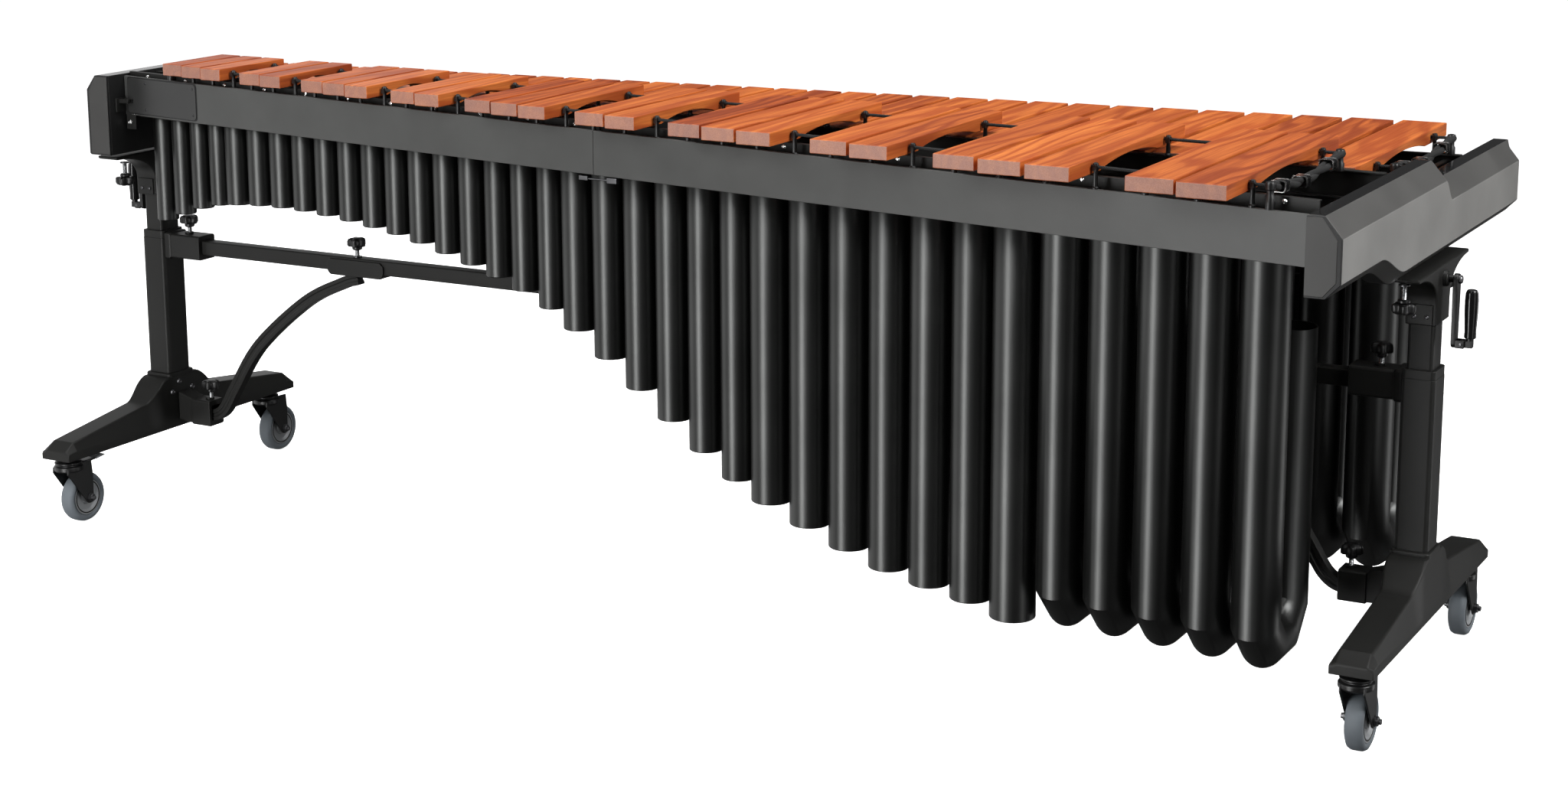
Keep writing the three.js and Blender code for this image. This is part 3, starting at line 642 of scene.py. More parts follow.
STRAP_SAG = 15
STRAP_STRAND = 5.0               # a strand's radius
STRAP_TWIST = 0.21               # the strands' turn round each other at each step
STRAP_SPREAD = (4.2, 2.4)        # how far a strand winds from the strap's middle, sideways and upright
BUCKLES = (0.13, 0.44, 0.82)     # places along a strap
BUCKLE = (11.0, 8.5, 9.0)        # half its width, half its height, half its length


def strap(row, near, far):
    """A doubled braided strap between the ends of a row's two cords, drawn tight by buckles."""
    steps = 60
    along = (far - near).normalized()
    side, up = frame_round(along)
    spine = [
        near.lerp(far, k / steps) - Vector((0, 0, STRAP_SAG * math.sin(math.pi * k / steps)))
        for k in range(steps + 1)
    ]
    build = Build("cord")
    for phase in (0, math.pi):
        strand = []
        for k, point in enumerate(spine):
            angle = STRAP_TWIST * k + phase
            strand.append(
                point + side * (STRAP_SPREAD[0] * math.cos(angle)) + up * (STRAP_SPREAD[1] * math.sin(angle))
            )
        build.sweep(strand, circle(STRAP_STRAND, 12))
    build.object(f"{row}_strap", FRAME_BODY, slot="black_plastic")
    half_a, half_b, reach = BUCKLE
    buckles = Build("gloss_black")
    for share in BUCKLES:
        at = spine[round(share * steps)]
        for material, start, end, grow in (
            ("gloss_black", -reach, reach, 1.0), ("silver", -reach - 1.6, -reach + 1, 1.07),
            ("silver", reach - 1, reach + 1.6, 1.07),
        ):
            buckles.use(material)
            buckles.loft([
                [
                    at + along * shift + (side * a + up * b)
                    for a, b in rounded(half_a * size, half_b * size, 4)
                ]
                for shift, size in ((start, grow), (end, grow), (end, 0.86 * grow), (start, 0.86 * grow))
            ], wrap=True)
    buckles.object(f"{row}_strap_buckles", FRAME_BODY, slot="steel")


# ---------- resonators ----------
TUBE_STEPS = 40
TUBE_WALL = 2.0
FLAT_TO_RADIUS = 1 / math.cos(math.pi / 8)       # the solid tubes have eight sides
RETURN_TOP = 634.0
FOLD = 140.0              # how far behind a folded tube its return stands


def tube_places(node):
    """(x, y, radius, bottom, top) of each tube in a CAD bank, from the low end."""
    top = node_box(node)[1].z
    points = [vertex.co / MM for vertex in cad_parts[node].data.vertices]
    places = []
    for low, high in top_patches(node, top):
        x, y = (low.x + high.x) / 2, (low.y + high.y) / 2
        radius = (high.x - low.x) / 2 * FLAT_TO_RADIUS
        near = [p.z for p in points if math.hypot(p.x - x, p.y - y) < radius + 1]
        places.append((x, y, radius, min(near), top))
    return places


def open_tube(build, x, y, radius, bottom, top):
    """A thin tube with a rolled rim, stopped at its bottom."""
    inner = radius - TUBE_WALL
    build.turn(x, y, [
        (0.5, bottom), (radius - 1.5, bottom), (radius, bottom + 1.5), (radius, top - 0.8),
        (radius - 0.6, top), (inner + 0.4, top), (inner, top - 0.8), (inner, bottom + 4), (0.5, bottom + 4),
    ], TUBE_STEPS)


def mitred(path, radius):
    """Rings of a round pipe along a path, cut on the mitre plane at each corner."""
    first = (path[1] - path[0]).normalized()
    side, other = frame_round(first)
    ring = [path[0] + side * a + other * b for a, b in circle(radius, TUBE_STEPS)]
    rings = [ring]
    for k in range(1, len(path)):
        along = (path[k] - path[k - 1]).normalized()
        after = (path[min(k + 1, len(path) - 1)] - path[k]).normalized() if k + 1 < len(path) else along
        normal = (along + after).normalized()
        ring = [point + along * ((path[k] - point).dot(normal) / along.dot(normal)) for point in ring]
        rings.append(ring)
    return rings


ELBOW_CUT = 41.0         # how far an elbow's slanted length runs, down and across


def folded_tube(build, x, y, radius, bottom, top):
    """A tube that turns up again through an elbow of slanted lengths, open at both tops."""
    floor = bottom + radius
    near, far = Vector((x, y, floor)), Vector((x, y + FOLD, floor))
    step, rise = Vector((0, ELBOW_CUT, 0)), Vector((0, 0, ELBOW_CUT))
    path = [
        Vector((x, y, top)), near + rise, near + step,
        far - step, far + rise, Vector((x, y + FOLD, RETURN_TOP)),
    ]
    build.loft(mitred(path, radius) + mitred(path, radius - TUBE_WALL)[::-1], wrap=True)


def make_resonators():
    """Each half of the front and the rear bank as one piece, with its side strips."""
    for bank in ("front", "rear"):
        for half in ("low", "high"):
            node = f"{half}_{bank}_resonators"
            places = tube_places(node)
            returns = [(low.x + high.x) / 2 for low, high in top_patches(node, RETURN_TOP)]
            build = Build("tube_black")
            for place in places:
                folded = any(abs(x - place[0]) < 5 for x in returns)
                (folded_tube if folded else open_tube)(build, *place)
            strip_along(build, places)
            build.object(node.replace("resonators", "resonator_bank"), FRAME_BODY, replaces=[node],
                         slot="tube_black", sharp=40)


STRIP_DROP = (26, 8)     # a strip's two edges, below the tubes' rims
STRIP_HALF = 0.8         # half its thickness
STRIP_REACH = 0.9        # how far it passes the middles of the end tubes, in their radii


def strip_along(build, places):
    """Side strips that grip a bank's tubes below their rims, with a rivet at each tube."""
    low, high = STRIP_DROP
    for side in (-1, 1):
        run = [(x, y + side * radius, top) for x, y, radius, _, top in places]
        start = (run[0][0] + places[0][2] * STRIP_REACH, *run[0][1:])
        end = (run[-1][0] - places[-1][2] * STRIP_REACH, *run[-1][1:])
        build.loft([
            [
                (x, at - STRIP_HALF, top - low), (x, at + STRIP_HALF, top - low),
                (x, at + STRIP_HALF, top - high), (x, at - STRIP_HALF, top - high),
            ]
            for x, at, top in (start, *run, end)
        ])
        for x, y, radius, _, top in places:
            centre = (x, y + side * (radius + STRIP_HALF), top - (low + high) / 2)
            build.lathe(centre, (0, side, 0), [(3.2, -0.5), (3.2, 0.4), (2.2, 1.4), (0.6, 1.8)], 10)


# ---------- rails ----------
RAIL_SHEET = 3           # the thickness of the black rails' sheet
RAIL_SCREW = 3.2
RAIL_SCREW_STEP = 170
SKIN_SHEET = 2.6         # the thickness of the fascia's grey skin
CHANNEL_SHEET = 2.5      # and of the black channel behind it
WEB_DEPTH = (25.0, 0.0075)       # from the fascia's face to its inner web, and how that grows with x
WEB_RISE = 16                    # how far the web stands above the fascia's top edge
FASCIA_SCREW_STEP = 112
FASCIA_RISE = 9.0                # at the high end
FASCIA_SPAN = 2530


def level(_):
    """The rise of a plate that lies level."""
    return 0.0


def fascia_rise(x):
    """How far the fascia stands above its solid core. It climbs a little toward the high end."""
    return FASCIA_RISE * (0.5 - x / FASCIA_SPAN)


def plate(build, line, x0, x1, near, far, z0, z1, rise=level):
    """An upright plate along a plan line, between two offsets from it in either order."""
    corners = [(x0, line(x0) + near), (x1, line(x1) + near), (x1, line(x1) + far), (x0, line(x0) + far)]
    return build.loft([[(x, y, z + rise(x)) for x, y in corners] for z in (z0, z1)])


def make_fascia(half):
    """A grey fascia skin on a black channel rail, with screw heads along the channel's inside."""
    node = f"{half}_front_fascia"
    low, high = node_box(node)
    line = plan_line(node, min)

    def inner(x):
        """The inner web in plan."""
        return line(x) + WEB_DEPTH[0] + WEB_DEPTH[1] * x

    skin = Build("rail_grey")
    plate(skin, line, low.x, high.x, 0, SKIN_SHEET, low.z, high.z, fascia_rise)
    plate(skin, line, low.x, high.x, 1.5, 7, high.z - SKIN_SHEET, high.z, fascia_rise)
    plate(skin, line, low.x, high.x, 1.5, 9, low.z, low.z + SKIN_SHEET, fascia_rise)
    skin.object(f"{half}_fascia_skin", FRAME_BODY, bevel=1.0, replaces=[node], slot="grey_rail")
    channel = Build("frame_black")
    run = (low.x + 1, high.x - 1)
    web_top = high.z + WEB_RISE
    plate(channel, line, *run, 3.2, 5.6, low.z + 4, high.z - 4, fascia_rise)
    plate(channel, line, *run, 5, 13, high.z - 12, high.z - 12 + CHANNEL_SHEET, fascia_rise)
    plate(channel, line, *run, 5, 13, low.z + 5, low.z + 5 + CHANNEL_SHEET, fascia_rise)
    plate(channel, inner, *run, 0, CHANNEL_SHEET, low.z + 4, web_top)
    plate(channel, inner, *run, 1.5, 9, web_top - CHANNEL_SHEET, web_top)
    channel.object(f"{half}_fascia_channel", FRAME_BODY, bevel=0.6, slot="grey_rail")
    screws = Build("silver")
    count = round((high.x - low.x) / FASCIA_SCREW_STEP)
    for k in range(count):
        x = low.x + (k + 0.5) * (high.x - low.x) / count
        screws.screw((x, inner(x), high.z + WEB_RISE / 2), (0, -1, 0), 4.2, 2.6)
    screws.object(f"{half}_fascia_screws", FRAME_BODY, slot="steel")
    return line, low, high


def make_rail(node, name, side):
    """A folded black channel with round screws along its web. side is +1 if the flanges point away."""
    low, high = node_box(node)
    line = plan_line(node, min if side > 0 else max)
    flange = (side * 1.5, side * 12.5)
    rail = Build("frame_black")
    plate(rail, line, low.x, high.x, 0, side * RAIL_SHEET, low.z, high.z)
    plate(rail, line, low.x, high.x, *flange, high.z - RAIL_SHEET, high.z)
    plate(rail, line, low.x, high.x, *flange, low.z, low.z + RAIL_SHEET)
    rail.object(name, FRAME_BODY, bevel=0.8, replaces=[node], slot="black_frame")
    screws = Build("steel")
    count = int((high.x - low.x) / RAIL_SCREW_STEP)
    for k in range(count):
        x = low.x + (k + 0.5) * (high.x - low.x) / count
        screws.screw((x, line(x), (low.z + high.z) / 2), (0, -side, 0), RAIL_SCREW)
    screws.object(f"{name}_screws", FRAME_BODY, slot="steel")


def make_rails():
    """The four rails with what joins and crosses them."""
    lines = {half: make_fascia(half) for half in ("low", "high")}
    for half in ("low", "high"):
        make_rail(f"{half}_rear_rail", f"{half}_rear_channel", -1)
    make_rail("accidental_inner_rail", "accidental_inner_channel", -1)
    make_rail("natural_inner_rail", "natural_inner_channel", 1)
    make_latch(*lines["low"])
    make_badge(*lines["high"])
    make_cross_members()


def make_latch(line, low, high):
    """The draw latch under the seam that pulls the two fascia halves together."""
    x = low.x
    latch = Build("dark_steel")
    latch.box(x + 24, x + 44, line(x) + 4, line(x) + 12, low.z - 9, low.z + 1)
    latch.box(x - 34, x - 16, line(x) + 5, line(x) + 11, low.z - 7, low.z + 1)
    latch.rod((x - 20, line(x) + 8, low.z - 4), (x + 30, line(x) + 8, low.z - 4), 1.6, 12)
    latch.object("fascia_latch", FRAME_BODY, bevel=0.8, slot="steel")
    plates = Build("frame_black")
    for side in (-1, 1):
        plate(plates, line, x + side * 2, x + side * 60, 6, 9, low.z + 14, high.z - 14)
    plates.object("fascia_joint_plates", FRAME_BODY, bevel=0.6, slot="black_frame")


BADGE = (201, 70)                # its length and height
BADGE_OFFSET = (10, 3)           # from the fascia's high end, and from its top
BADGE_SCREWS = (-46.5, 91.5)     # from the badge's middle


def make_badge(line, low, high):
    """A plain nameplate at the high end of the fascia, held by four small screws."""
    x0 = low.x + BADGE_OFFSET[0]
    x1 = x0 + BADGE[0]
    z1 = high.z - BADGE_OFFSET[1]
    z0 = z1 - BADGE[1]
    turn = math.atan2(line(x1) - line(x0), x1 - x0)
    along, out = Vector((math.cos(turn), math.sin(turn), 0)), Vector((math.sin(turn), -math.cos(turn), 0))
    centre = (x0 + x1) / 2
    middle = Vector((centre, line(centre), (z0 + z1) / 2 + fascia_rise(centre)))
    up = Vector((0, 0, 1))
    badge = Build("badge")
    # The second, wider plate behind the badge is black: a painted shadow for the gap round its edge.
    for grow, depth in ((0.0, 1.8), (2.2, 0.7)):
        outline = rounded(BADGE[0] / 2 + grow, BADGE[1] / 2 + grow, 7)
        badge.loft([
            [middle + out * lift + along * a + up * b for a, b in outline] for lift in (-0.2, depth)
        ])
        badge.use("deep_black")
    badge.object("name_plate", FRAME_BODY, bevel=0.5, slot="black_frame")
    border = Build("dark_steel")
    for place in BADGE_SCREWS:
        for sign in (-1, 1):
            at = middle + out * 1.6 + along * place + up * sign * (BADGE[1] / 2 - 9)
            border.screw(at, out, 2.6, 1.4)
    border.object("name_plate_trim", FRAME_BODY, slot="steel")


CROSS_AT = (-1265, -640, 560, 1262)      # along x
CROSS_TOPS = (858, 846, 842)             # of the stretches before, between and behind the inner rails
CROSS_DEPTH = 30


def make_cross_members():
    """Black cross channels that tie the four rails together."""
    front, rear = plan_line("accidental_inner_rail", min), plan_line("natural_inner_rail", max)
    fascia, back = plan_line("low_front_fascia", min), plan_line("low_rear_rail", max)
    high_fascia, high_back = plan_line("high_front_fascia", min), plan_line("high_rear_rail", max)
    ties = Build("frame_black")
    for x in CROSS_AT:
        near = (fascia if x > 0 else high_fascia)(x) + 7
        far = (back if x > 0 else high_back)(x) - 4
        stretches = ((near, front(x) - 3), (front(x), rear(x)), (rear(x) + 3, far))
        for (y0, y1), top in zip(stretches, CROSS_TOPS):
            ties.box(x - 2, x + 2, y0, y1, top - CROSS_DEPTH, top)
            ties.box(x - 12, x + 2, y0, y1, top - 3, top)
    ties.object("cross_channels", FRAME_BODY, bevel=0.8, slot="black_frame")


# ---------- end panels ----------
PANEL_CHAMFERS = {"low": (27, 32, 22), "high": (22, 29, 3)}     # top width, top height, bottom hem
PANEL_RISE = {"low": 0, "high": 8}       # how far a casting stands above its solid core
# The rim's black is painted shade for the dark rounded edge round the near end cap.
PANEL_RIM = 6            # the black rim round the near end cap
STEP = {"low": (47, 91), "high": (52, 92)}       # the stretch along y where a panel's top steps down
STEP_DROP = 36
SHALLOW_END, DEEP_START = -312, -172     # the stretch where the low panel's underside sweeps down
SHALLOW_RISE = 40
PANEL_TAIL = (24, 20)    # how long the back end narrows, and by how much


def ease(share):
    """A share from 0 to 1 that starts and stops gently. It's held within those limits."""
    share = min(1.0, max(0.0, share))
    return share * share * (3 - 2 * share)


def make_panel(end, side):
    """A cast end panel, swept from the audience side to the back. It steps down behind the accidentals."""
    low, high = (corner + Vector((0, 0, PANEL_RISE[end])) for corner in node_box(f"{end}_end_panel"))
    shoulder, drop, hem = PANEL_CHAMFERS[end]
    step_start, step_end = STEP[end]
    inner, outer = (low.x, high.x) if side > 0 else (high.x, low.x)
    shallow = SHALLOW_RISE if end == "low" else 0
    tail_length, tail_depth = PANEL_TAIL
    stations = [low.y, low.y + PANEL_RIM, low.y + PANEL_RIM]
    if end == "low":
        stations += [SHALLOW_END + (DEEP_START - SHALLOW_END) * k / 14 for k in range(15)]
    stations += [step_start - 6 + (step_end - step_start + 12) * k / 14 for k in range(15)]
    stations += [high.y - tail_length, high.y - tail_length / 3, high.y]
    panel = Build("panel_grey")
    rings = []
    for y in stations:
        top = high.z - STEP_DROP * ease((y - step_start) / (step_end - step_start))
        bottom = low.z + shallow * (1 - ease((y - SHALLOW_END) / (DEEP_START - SHALLOW_END)))
        edge = outer - side * tail_depth * max(0.0, (y - high.y + tail_length) / tail_length)
        rings.append([
            (x, y, z) for x, z in (
                (inner, top), (outer - side * shoulder, top), (edge, top - drop),
                (edge, bottom + hem), (outer - side * hem, bottom), (inner, bottom),
            )
        ])
    # The sides run from the inner face, round by the top, chamfer, outer face and hem, to the underside. The
    # chamfer and the hem are darker copies of the panel grey: painted shade where they turn from the light.
    panel.loft(rings[2:], bands=[
        "deep_black", "gloss_black", "panel_shoulder_painted_shade", "panel_grey", "panel_painted_shade", "deep_black",
    ])
    # The black rim at the near end: painted shade for the dark rounded edge there.
    panel.use("deep_black").loft(rings[:2])
    # The near end cap is a darker copy of the panel grey too: painted shade.
    top, bottom, reach = rings[0][0][2], rings[0][-1][2], PANEL_RIM
    cap = [
        (inner, top - 2), (outer - side * (shoulder + 2), top - 2),
        (outer - side * reach, top - drop - 2), (outer - side * reach, bottom + hem + 3),
        (outer - side * (hem + 3), bottom + 3), (inner, bottom + 3),
    ]
    panel.use("panel_painted_shade").prism("y", cap, low.y - 1, low.y + 1)
    panel.object(f"{end}_panel_casting", FRAME_BODY, bevel=2.0, segments=3, replaces=[f"{end}_end_panel"],
                 slot="grey_panel", sharp=20)
    make_panel_fittings(end, side, low, inner)


LOUVRE = (26, 7)         # its depth from the panel's inner face, and its width along it
LOUVRE_GAP = 5
LOUVRE_START = {"low": 90, "high": 30}   # the first group, from the panel's near end
LOUVRE_BACK_START = 110                  # the second group, along y
LOUVRE_Z = (838, 846)
LOUVRE_PLATE_Z = (820, 848)


def make_panel_fittings(end, side, low, inner):
    """Latch plates that hook the rails to the panel, and louvred slots in its inner top edge."""
    front, rear = plan_line(f"{end}_front_fascia", min), plan_line(f"{end}_rear_rail", min)

    def deep(depth):
        """The x at a depth from the panel's inner face."""
        return inner - side * depth

    fittings = Build("silver")
    y, top = rear(inner) - 1, node_box(f"{end}_rear_rail")[1].z
    fittings.box(deep(0.4), deep(3.5), y, y + 7, top - 62, top - 30)
    fittings.rod((deep(2), y + 3.5, top - 66), (deep(2), y + 3.5, top - 26), 1.8, 12)
    y, top = front(inner) - 2.6, node_box(f"{end}_front_fascia")[1].z + PANEL_RISE[end]
    if end == "high":
        fittings.screw((deep(13), y, top - 92), (0, -1, 0), 5.5, 3.0)
        fittings.box(deep(24), deep(26), y - 1.2, y + 1, top - 76, top - 54)
        fittings.use("frame_black").box(deep(4), deep(28), y, y + 2.4, top - 106, top - 51)
        fittings.screw((deep(23), y, top - 99), (0, -1, 0), 2.6, 1.2)
    else:
        fittings.box(deep(0.5), deep(5), y - 4, y + 1, top - 72, top - 46)
    fittings.object(f"{end}_panel_hooks", FRAME_BODY, bevel=0.6, slot="steel")
    louvres = Build("frame_black")
    for start in (low.y + LOUVRE_START[end], LOUVRE_BACK_START):
        for k in range(5):
            y = start + k * (LOUVRE[1] + LOUVRE_GAP)
            louvres.box(deep(1), deep(LOUVRE[0]), y, y + LOUVRE[1], *LOUVRE_Z)
        louvres.box(deep(0.2), deep(3), start - 8, start + 62, *LOUVRE_PLATE_Z)
    louvres.object(f"{end}_panel_louvres", FRAME_BODY, bevel=0.8, slot="black_frame")


# ---------- columns ----------
COLUMN_CORNER = 7
COLLAR_HEIGHT = 15
NUT_POST = (10, 490)     # its radius, and its top


def column_shell(build, low, high, z0, z1, corner=COLUMN_CORNER, grow=0.0, wall=3.0):
    """A rounded rectangular tube about a node's box, open at both ends."""
    middle = ((low.x + high.x) / 2, (low.y + high.y) / 2)
    half_x, half_y = (high.x - low.x) / 2 + grow, (high.y - low.y) / 2 + grow
    outer = rounded(half_x, half_y, corner)
    inner = rounded(half_x - wall, half_y - wall, max(1.0, corner - wall))
    build.sleeve("z", middle, z0, z1, outer, inner)


def make_column(end, side):
    """The telescopic column: inner tube, outer tube with its collar and nut post, and the beam socket."""
    low, high = node_box(f"{end}_end_inner_column")
    inner = Build("frame_black")
    column_shell(inner, low, high, low.z, high.z, 6)
    inner.object(f"{end}_column_inner_tube", FRAME_BODY, bevel=0.6, replaces=[f"{end}_end_inner_column"],
                 slot="black_frame", sharp=50)
    tube_low, tube_high = node_box(f"{end}_end_outer_column")
    middle = (low + high) / 2
    half_y = (tube_high.y - tube_low.y) / 2
    half_x = abs((tube_high.x if side > 0 else tube_low.x) - middle.x)
    corner_low = Vector((middle.x - half_x, middle.y - half_y, tube_low.z))
    corner_high = Vector((middle.x + half_x, middle.y + half_y, tube_high.z))
    outer = Build("frame_black")
    collar_low = tube_high.z - COLLAR_HEIGHT
    column_shell(outer, corner_low, corner_high, tube_low.z, collar_low, COLUMN_CORNER + 1)
    column_shell(outer, corner_low, corner_high, collar_low - 0.5, tube_high.z, COLUMN_CORNER + 1, -0.4, 6.0)
    radius, top = NUT_POST
    outer.rod((middle.x, middle.y, tube_low.z + 1), (middle.x, middle.y, top), radius, 20)
    outer.object(f"{end}_column_outer_tube", BASE_BODY, bevel=1.0, replaces=[f"{end}_end_outer_column"],
                 slot="black_frame", sharp=50)
    make_beam_socket(end, side, corner_low, corner_high)


SOCKET_REACH = 116       # from the column's axis to the socket's open end
SOCKET_BOSS_X = 1248
SOCKET_WALL = 10.5


def make_beam_socket(end, side, column_low, column_high):
    """A cast socket on the column that the stretcher beam slides into."""
    beam_low, beam_high = node_box("stretcher_beam")
    cy, cz = (beam_low.y + beam_high.y) / 2, (beam_low.z + beam_high.z) / 2
    column_face = column_low.x if side > 0 else column_high.x
    mouth = (column_low.x + column_high.x) / 2 - side * SOCKET_REACH
    half = (beam_high.y - beam_low.y) / 2
    outer = rounded(half + SOCKET_WALL, half + SOCKET_WALL, 5)
    inner = rounded(half + 0.6, half + 0.6, 2)
    socket = Build("frame_black")
    root = column_face + side * 1
    socket.sleeve("x", (cy, cz), mouth, root, outer, inner)
    socket.loft([
        [(x, cy + a, cz + b) for a, b in rounded(half + grow, half + grow, 5)]
        for x, grow in ((column_face - side * 14, SOCKET_WALL), (column_face - side * 10, 13), (root, 13))
    ])
    boss = [(side * SOCKET_BOSS_X, cy, cz + half + rise) for rise in (8, 14)]
    socket.rod(*boss, 9, 24)
    socket.object(f"{end}_beam_socket", BASE_BODY, bevel=1.5, slot="black_frame", sharp=50)


HEAD_NECK = (40, 34)     # half its width, and its height
HEAD_WING = (150, 720)   # half the saddle's width, and its underside
HEAD_FILLET_STEPS = 10


def head_outline(middle_y, low_z, top_z):
    """The head from the side: a neck that flares in two sweeping fillets into the saddle."""
    neck, neck_height = HEAD_NECK
    wing, wing_bottom = HEAD_WING
    points = []
    for k in range(HEAD_FILLET_STEPS + 1):
        angle = math.pi / 2 * k / HEAD_FILLET_STEPS
        points.append((
            neck + (wing - 4 - neck) * (1 - math.cos(angle)),
            low_z + neck_height + (wing_bottom - low_z - neck_height) * math.sin(angle) ** 0.85,
        ))
    right = [(neck, low_z), *points, (wing, wing_bottom + 2), (wing, top_z)]
    left = [(-a, z) for a, z in reversed(right)]
    return [(middle_y + a, z) for a, z in right + left]


SCREW_TOP = 672
THREAD = (6.0, 5.0, 5.0)         # the lead screw's crest, root and pitch
CRANK_HUB_Z = 704
CRANK_ARM_X = (1362, 1370)       # the arm's two faces
CRANK_ARM_FOOT = 600.5
GRIP_EARS_X = 1384               # where the arm's two ears end
GRIP_PIN = (1379, 600)
GRIP_X = 1391


def make_head(end, side):
    """The head casting with its cover plate, two screws, and the boss of the crank shaft."""
    low, high = node_box(f"{end}_end_head")
    middle = (low + high) / 2
    head = Build("frame_black")
    head.prism("x", head_outline(middle.y, low.z, high.z), low.x + 1, high.x - 1)
    outer_face = high.x if side > 0 else low.x
    boss = [(outer_face + side * reach, middle.y, CRANK_HUB_Z) for reach in (-6, 7)]
    head.rod(*boss, 15, 32, 12)
    head.object(f"{end}_head_casting", FRAME_BODY, bevel=2.5, segments=3, replaces=[f"{end}_end_head"],
                slot="black_frame")
    trim = Build("frame_black")
    trim.box(middle.x - 19, middle.x + 19, middle.y - 42.4, middle.y - 39, low.z + 2, low.z + HEAD_NECK[1])
    trim.use("dark_steel")
    for x in (middle.x - 10, middle.x + 10):
        trim.screw((x, middle.y - 42.4, low.z + 14), (0, -1, 0), 3.6, 2.0)
    trim.object(f"{end}_head_plate", FRAME_BODY, bevel=0.8, slot="black_frame")


def make_screw_and_crank(end, side):
    """The lead screw with its thread and bevel gear, the crank, and its folding grip."""
    low, high = node_box(f"{end}_end_lead_screw")
    x, y = (low.x + high.x) / 2, (low.y + high.y) / 2
    screw = Build("steel")
    screw.turn(x, y, thread_profile(low.z, SCREW_TOP, *THREAD), 20)
    gear = [(5, -1), (9.6, 6), (9.6, 14), (6, 20), (3, 20)]
    screw.turn(x, y, [(radius, SCREW_TOP + rise) for radius, rise in gear], 24)
    screw.object(f"{end}_lead_screw_steel", f"{end}_screw", replaces=[f"{end}_end_lead_screw"], slot="steel")
    low, high = node_box(f"{end}_end_crank")
    start = low.x if side > 0 else high.x
    arm_in, arm_out = (side * x for x in CRANK_ARM_X)
    crank = Build("plastic_black")
    crank.rod((start, y, CRANK_HUB_Z), (arm_in, y, CRANK_HUB_Z), 6, 24)
    outline = []
    for half_turn, middle_z, reach_y, reach_z in ((0, CRANK_HUB_Z, 11.5, 9.5), (1, CRANK_ARM_FOOT, 9, 8)):
        for k in range(13):
            angle = math.pi * (half_turn + k / 12)
            outline.append((y + reach_y * math.cos(angle), middle_z + reach_z * math.sin(angle)))
    crank.prism("x", outline, arm_in, arm_out)
    for way in (-1, 1):
        crank.box(arm_out - side, side * GRIP_EARS_X, y + way * 6.6, y + way * 9.8, 593.5, 606.5)
    crank.object(f"{end}_crank_arm", f"{end}_crank", bevel=1.2, replaces=[f"{end}_end_crank"],
                 slot="black_plastic")
    bolts = Build("dark_steel")
    bolts.lathe((arm_out, y, CRANK_HUB_Z), (side, 0, 0), [(7, -0.5), (7, 3), (5.5, 5), (2, 5.6)], 24)
    pin = [(1, 0), (3, 0.6), (3, 20.2), (1, 20.8)]
    bolts.lathe((side * GRIP_PIN[0], y - 10.4, GRIP_PIN[1]), (0, 1, 0), pin, 16)
    bolts.object(f"{end}_crank_bolts", f"{end}_crank", slot="steel")
    grip = Build("gloss_black")
    gx = side * GRIP_X
    grip.turn(gx, y, [
        (4, 609.5), (8.6, 610), (9.6, 612), (9.2, 622), (10.6, 652),
        (10.8, 672), (10.0, 684), (7.5, 689), (2, 690),
    ], 32)
    grip.use("plastic_black")
    grip.turn(gx, y, [(5, 604), (6, 606), (6, 611), (4, 611)], 20)
    grip.box(gx - side * 15, gx + side * 5, y - 5.8, y + 5.8, 594.5, 606)
    grip.object(f"{end}_crank_handle", f"{end}_grip", bevel=0.8, replaces=[f"{end}_end_crank_grip"],
                slot="black_plastic", sharp=50)


def thread_profile(start, end, crest, root, pitch):
    """A lathe profile of (radius, height) with a ridge for each turn of a thread."""
    turns = int((end - start) / pitch)
    profile = [(root * 0.6, start)]
    for k in range(turns):
        profile += [(root, start + (k + 0.15) * pitch), (crest, start + (k + 0.5) * pitch)]
    profile.append((root, end))
    return profile


# ---------- base ----------
STEMS = {"front": -293, "rear": 322}     # the casters' stems along y
FOOT_BOLTS = ((6, 235), (-15, 216), (45, 216))       # (y, z) on a foot's inner face
FOOT_CREASE = 18
FOOT_CREASE_HALF = 35.5          # half the foot's width below its crease
FOOT_SWEEPS = (-95, 60)          # where a leg's top starts to sweep, towards the audience and away
FOOT_SWEEP_LENGTH = 73


def foot_height(y, profile):
    """The foot's top edge at y, from eased stretches between the points of its profile."""
    for (y0, z0), (y1, z1) in zip(profile, profile[1:]):
        if y <= y1:
            share = (y - y0) / (y1 - y0)
            return z0 + (z1 - z0) * (ease(share) if abs(z1 - z0) > 40 else share)
    return profile[-1][1]


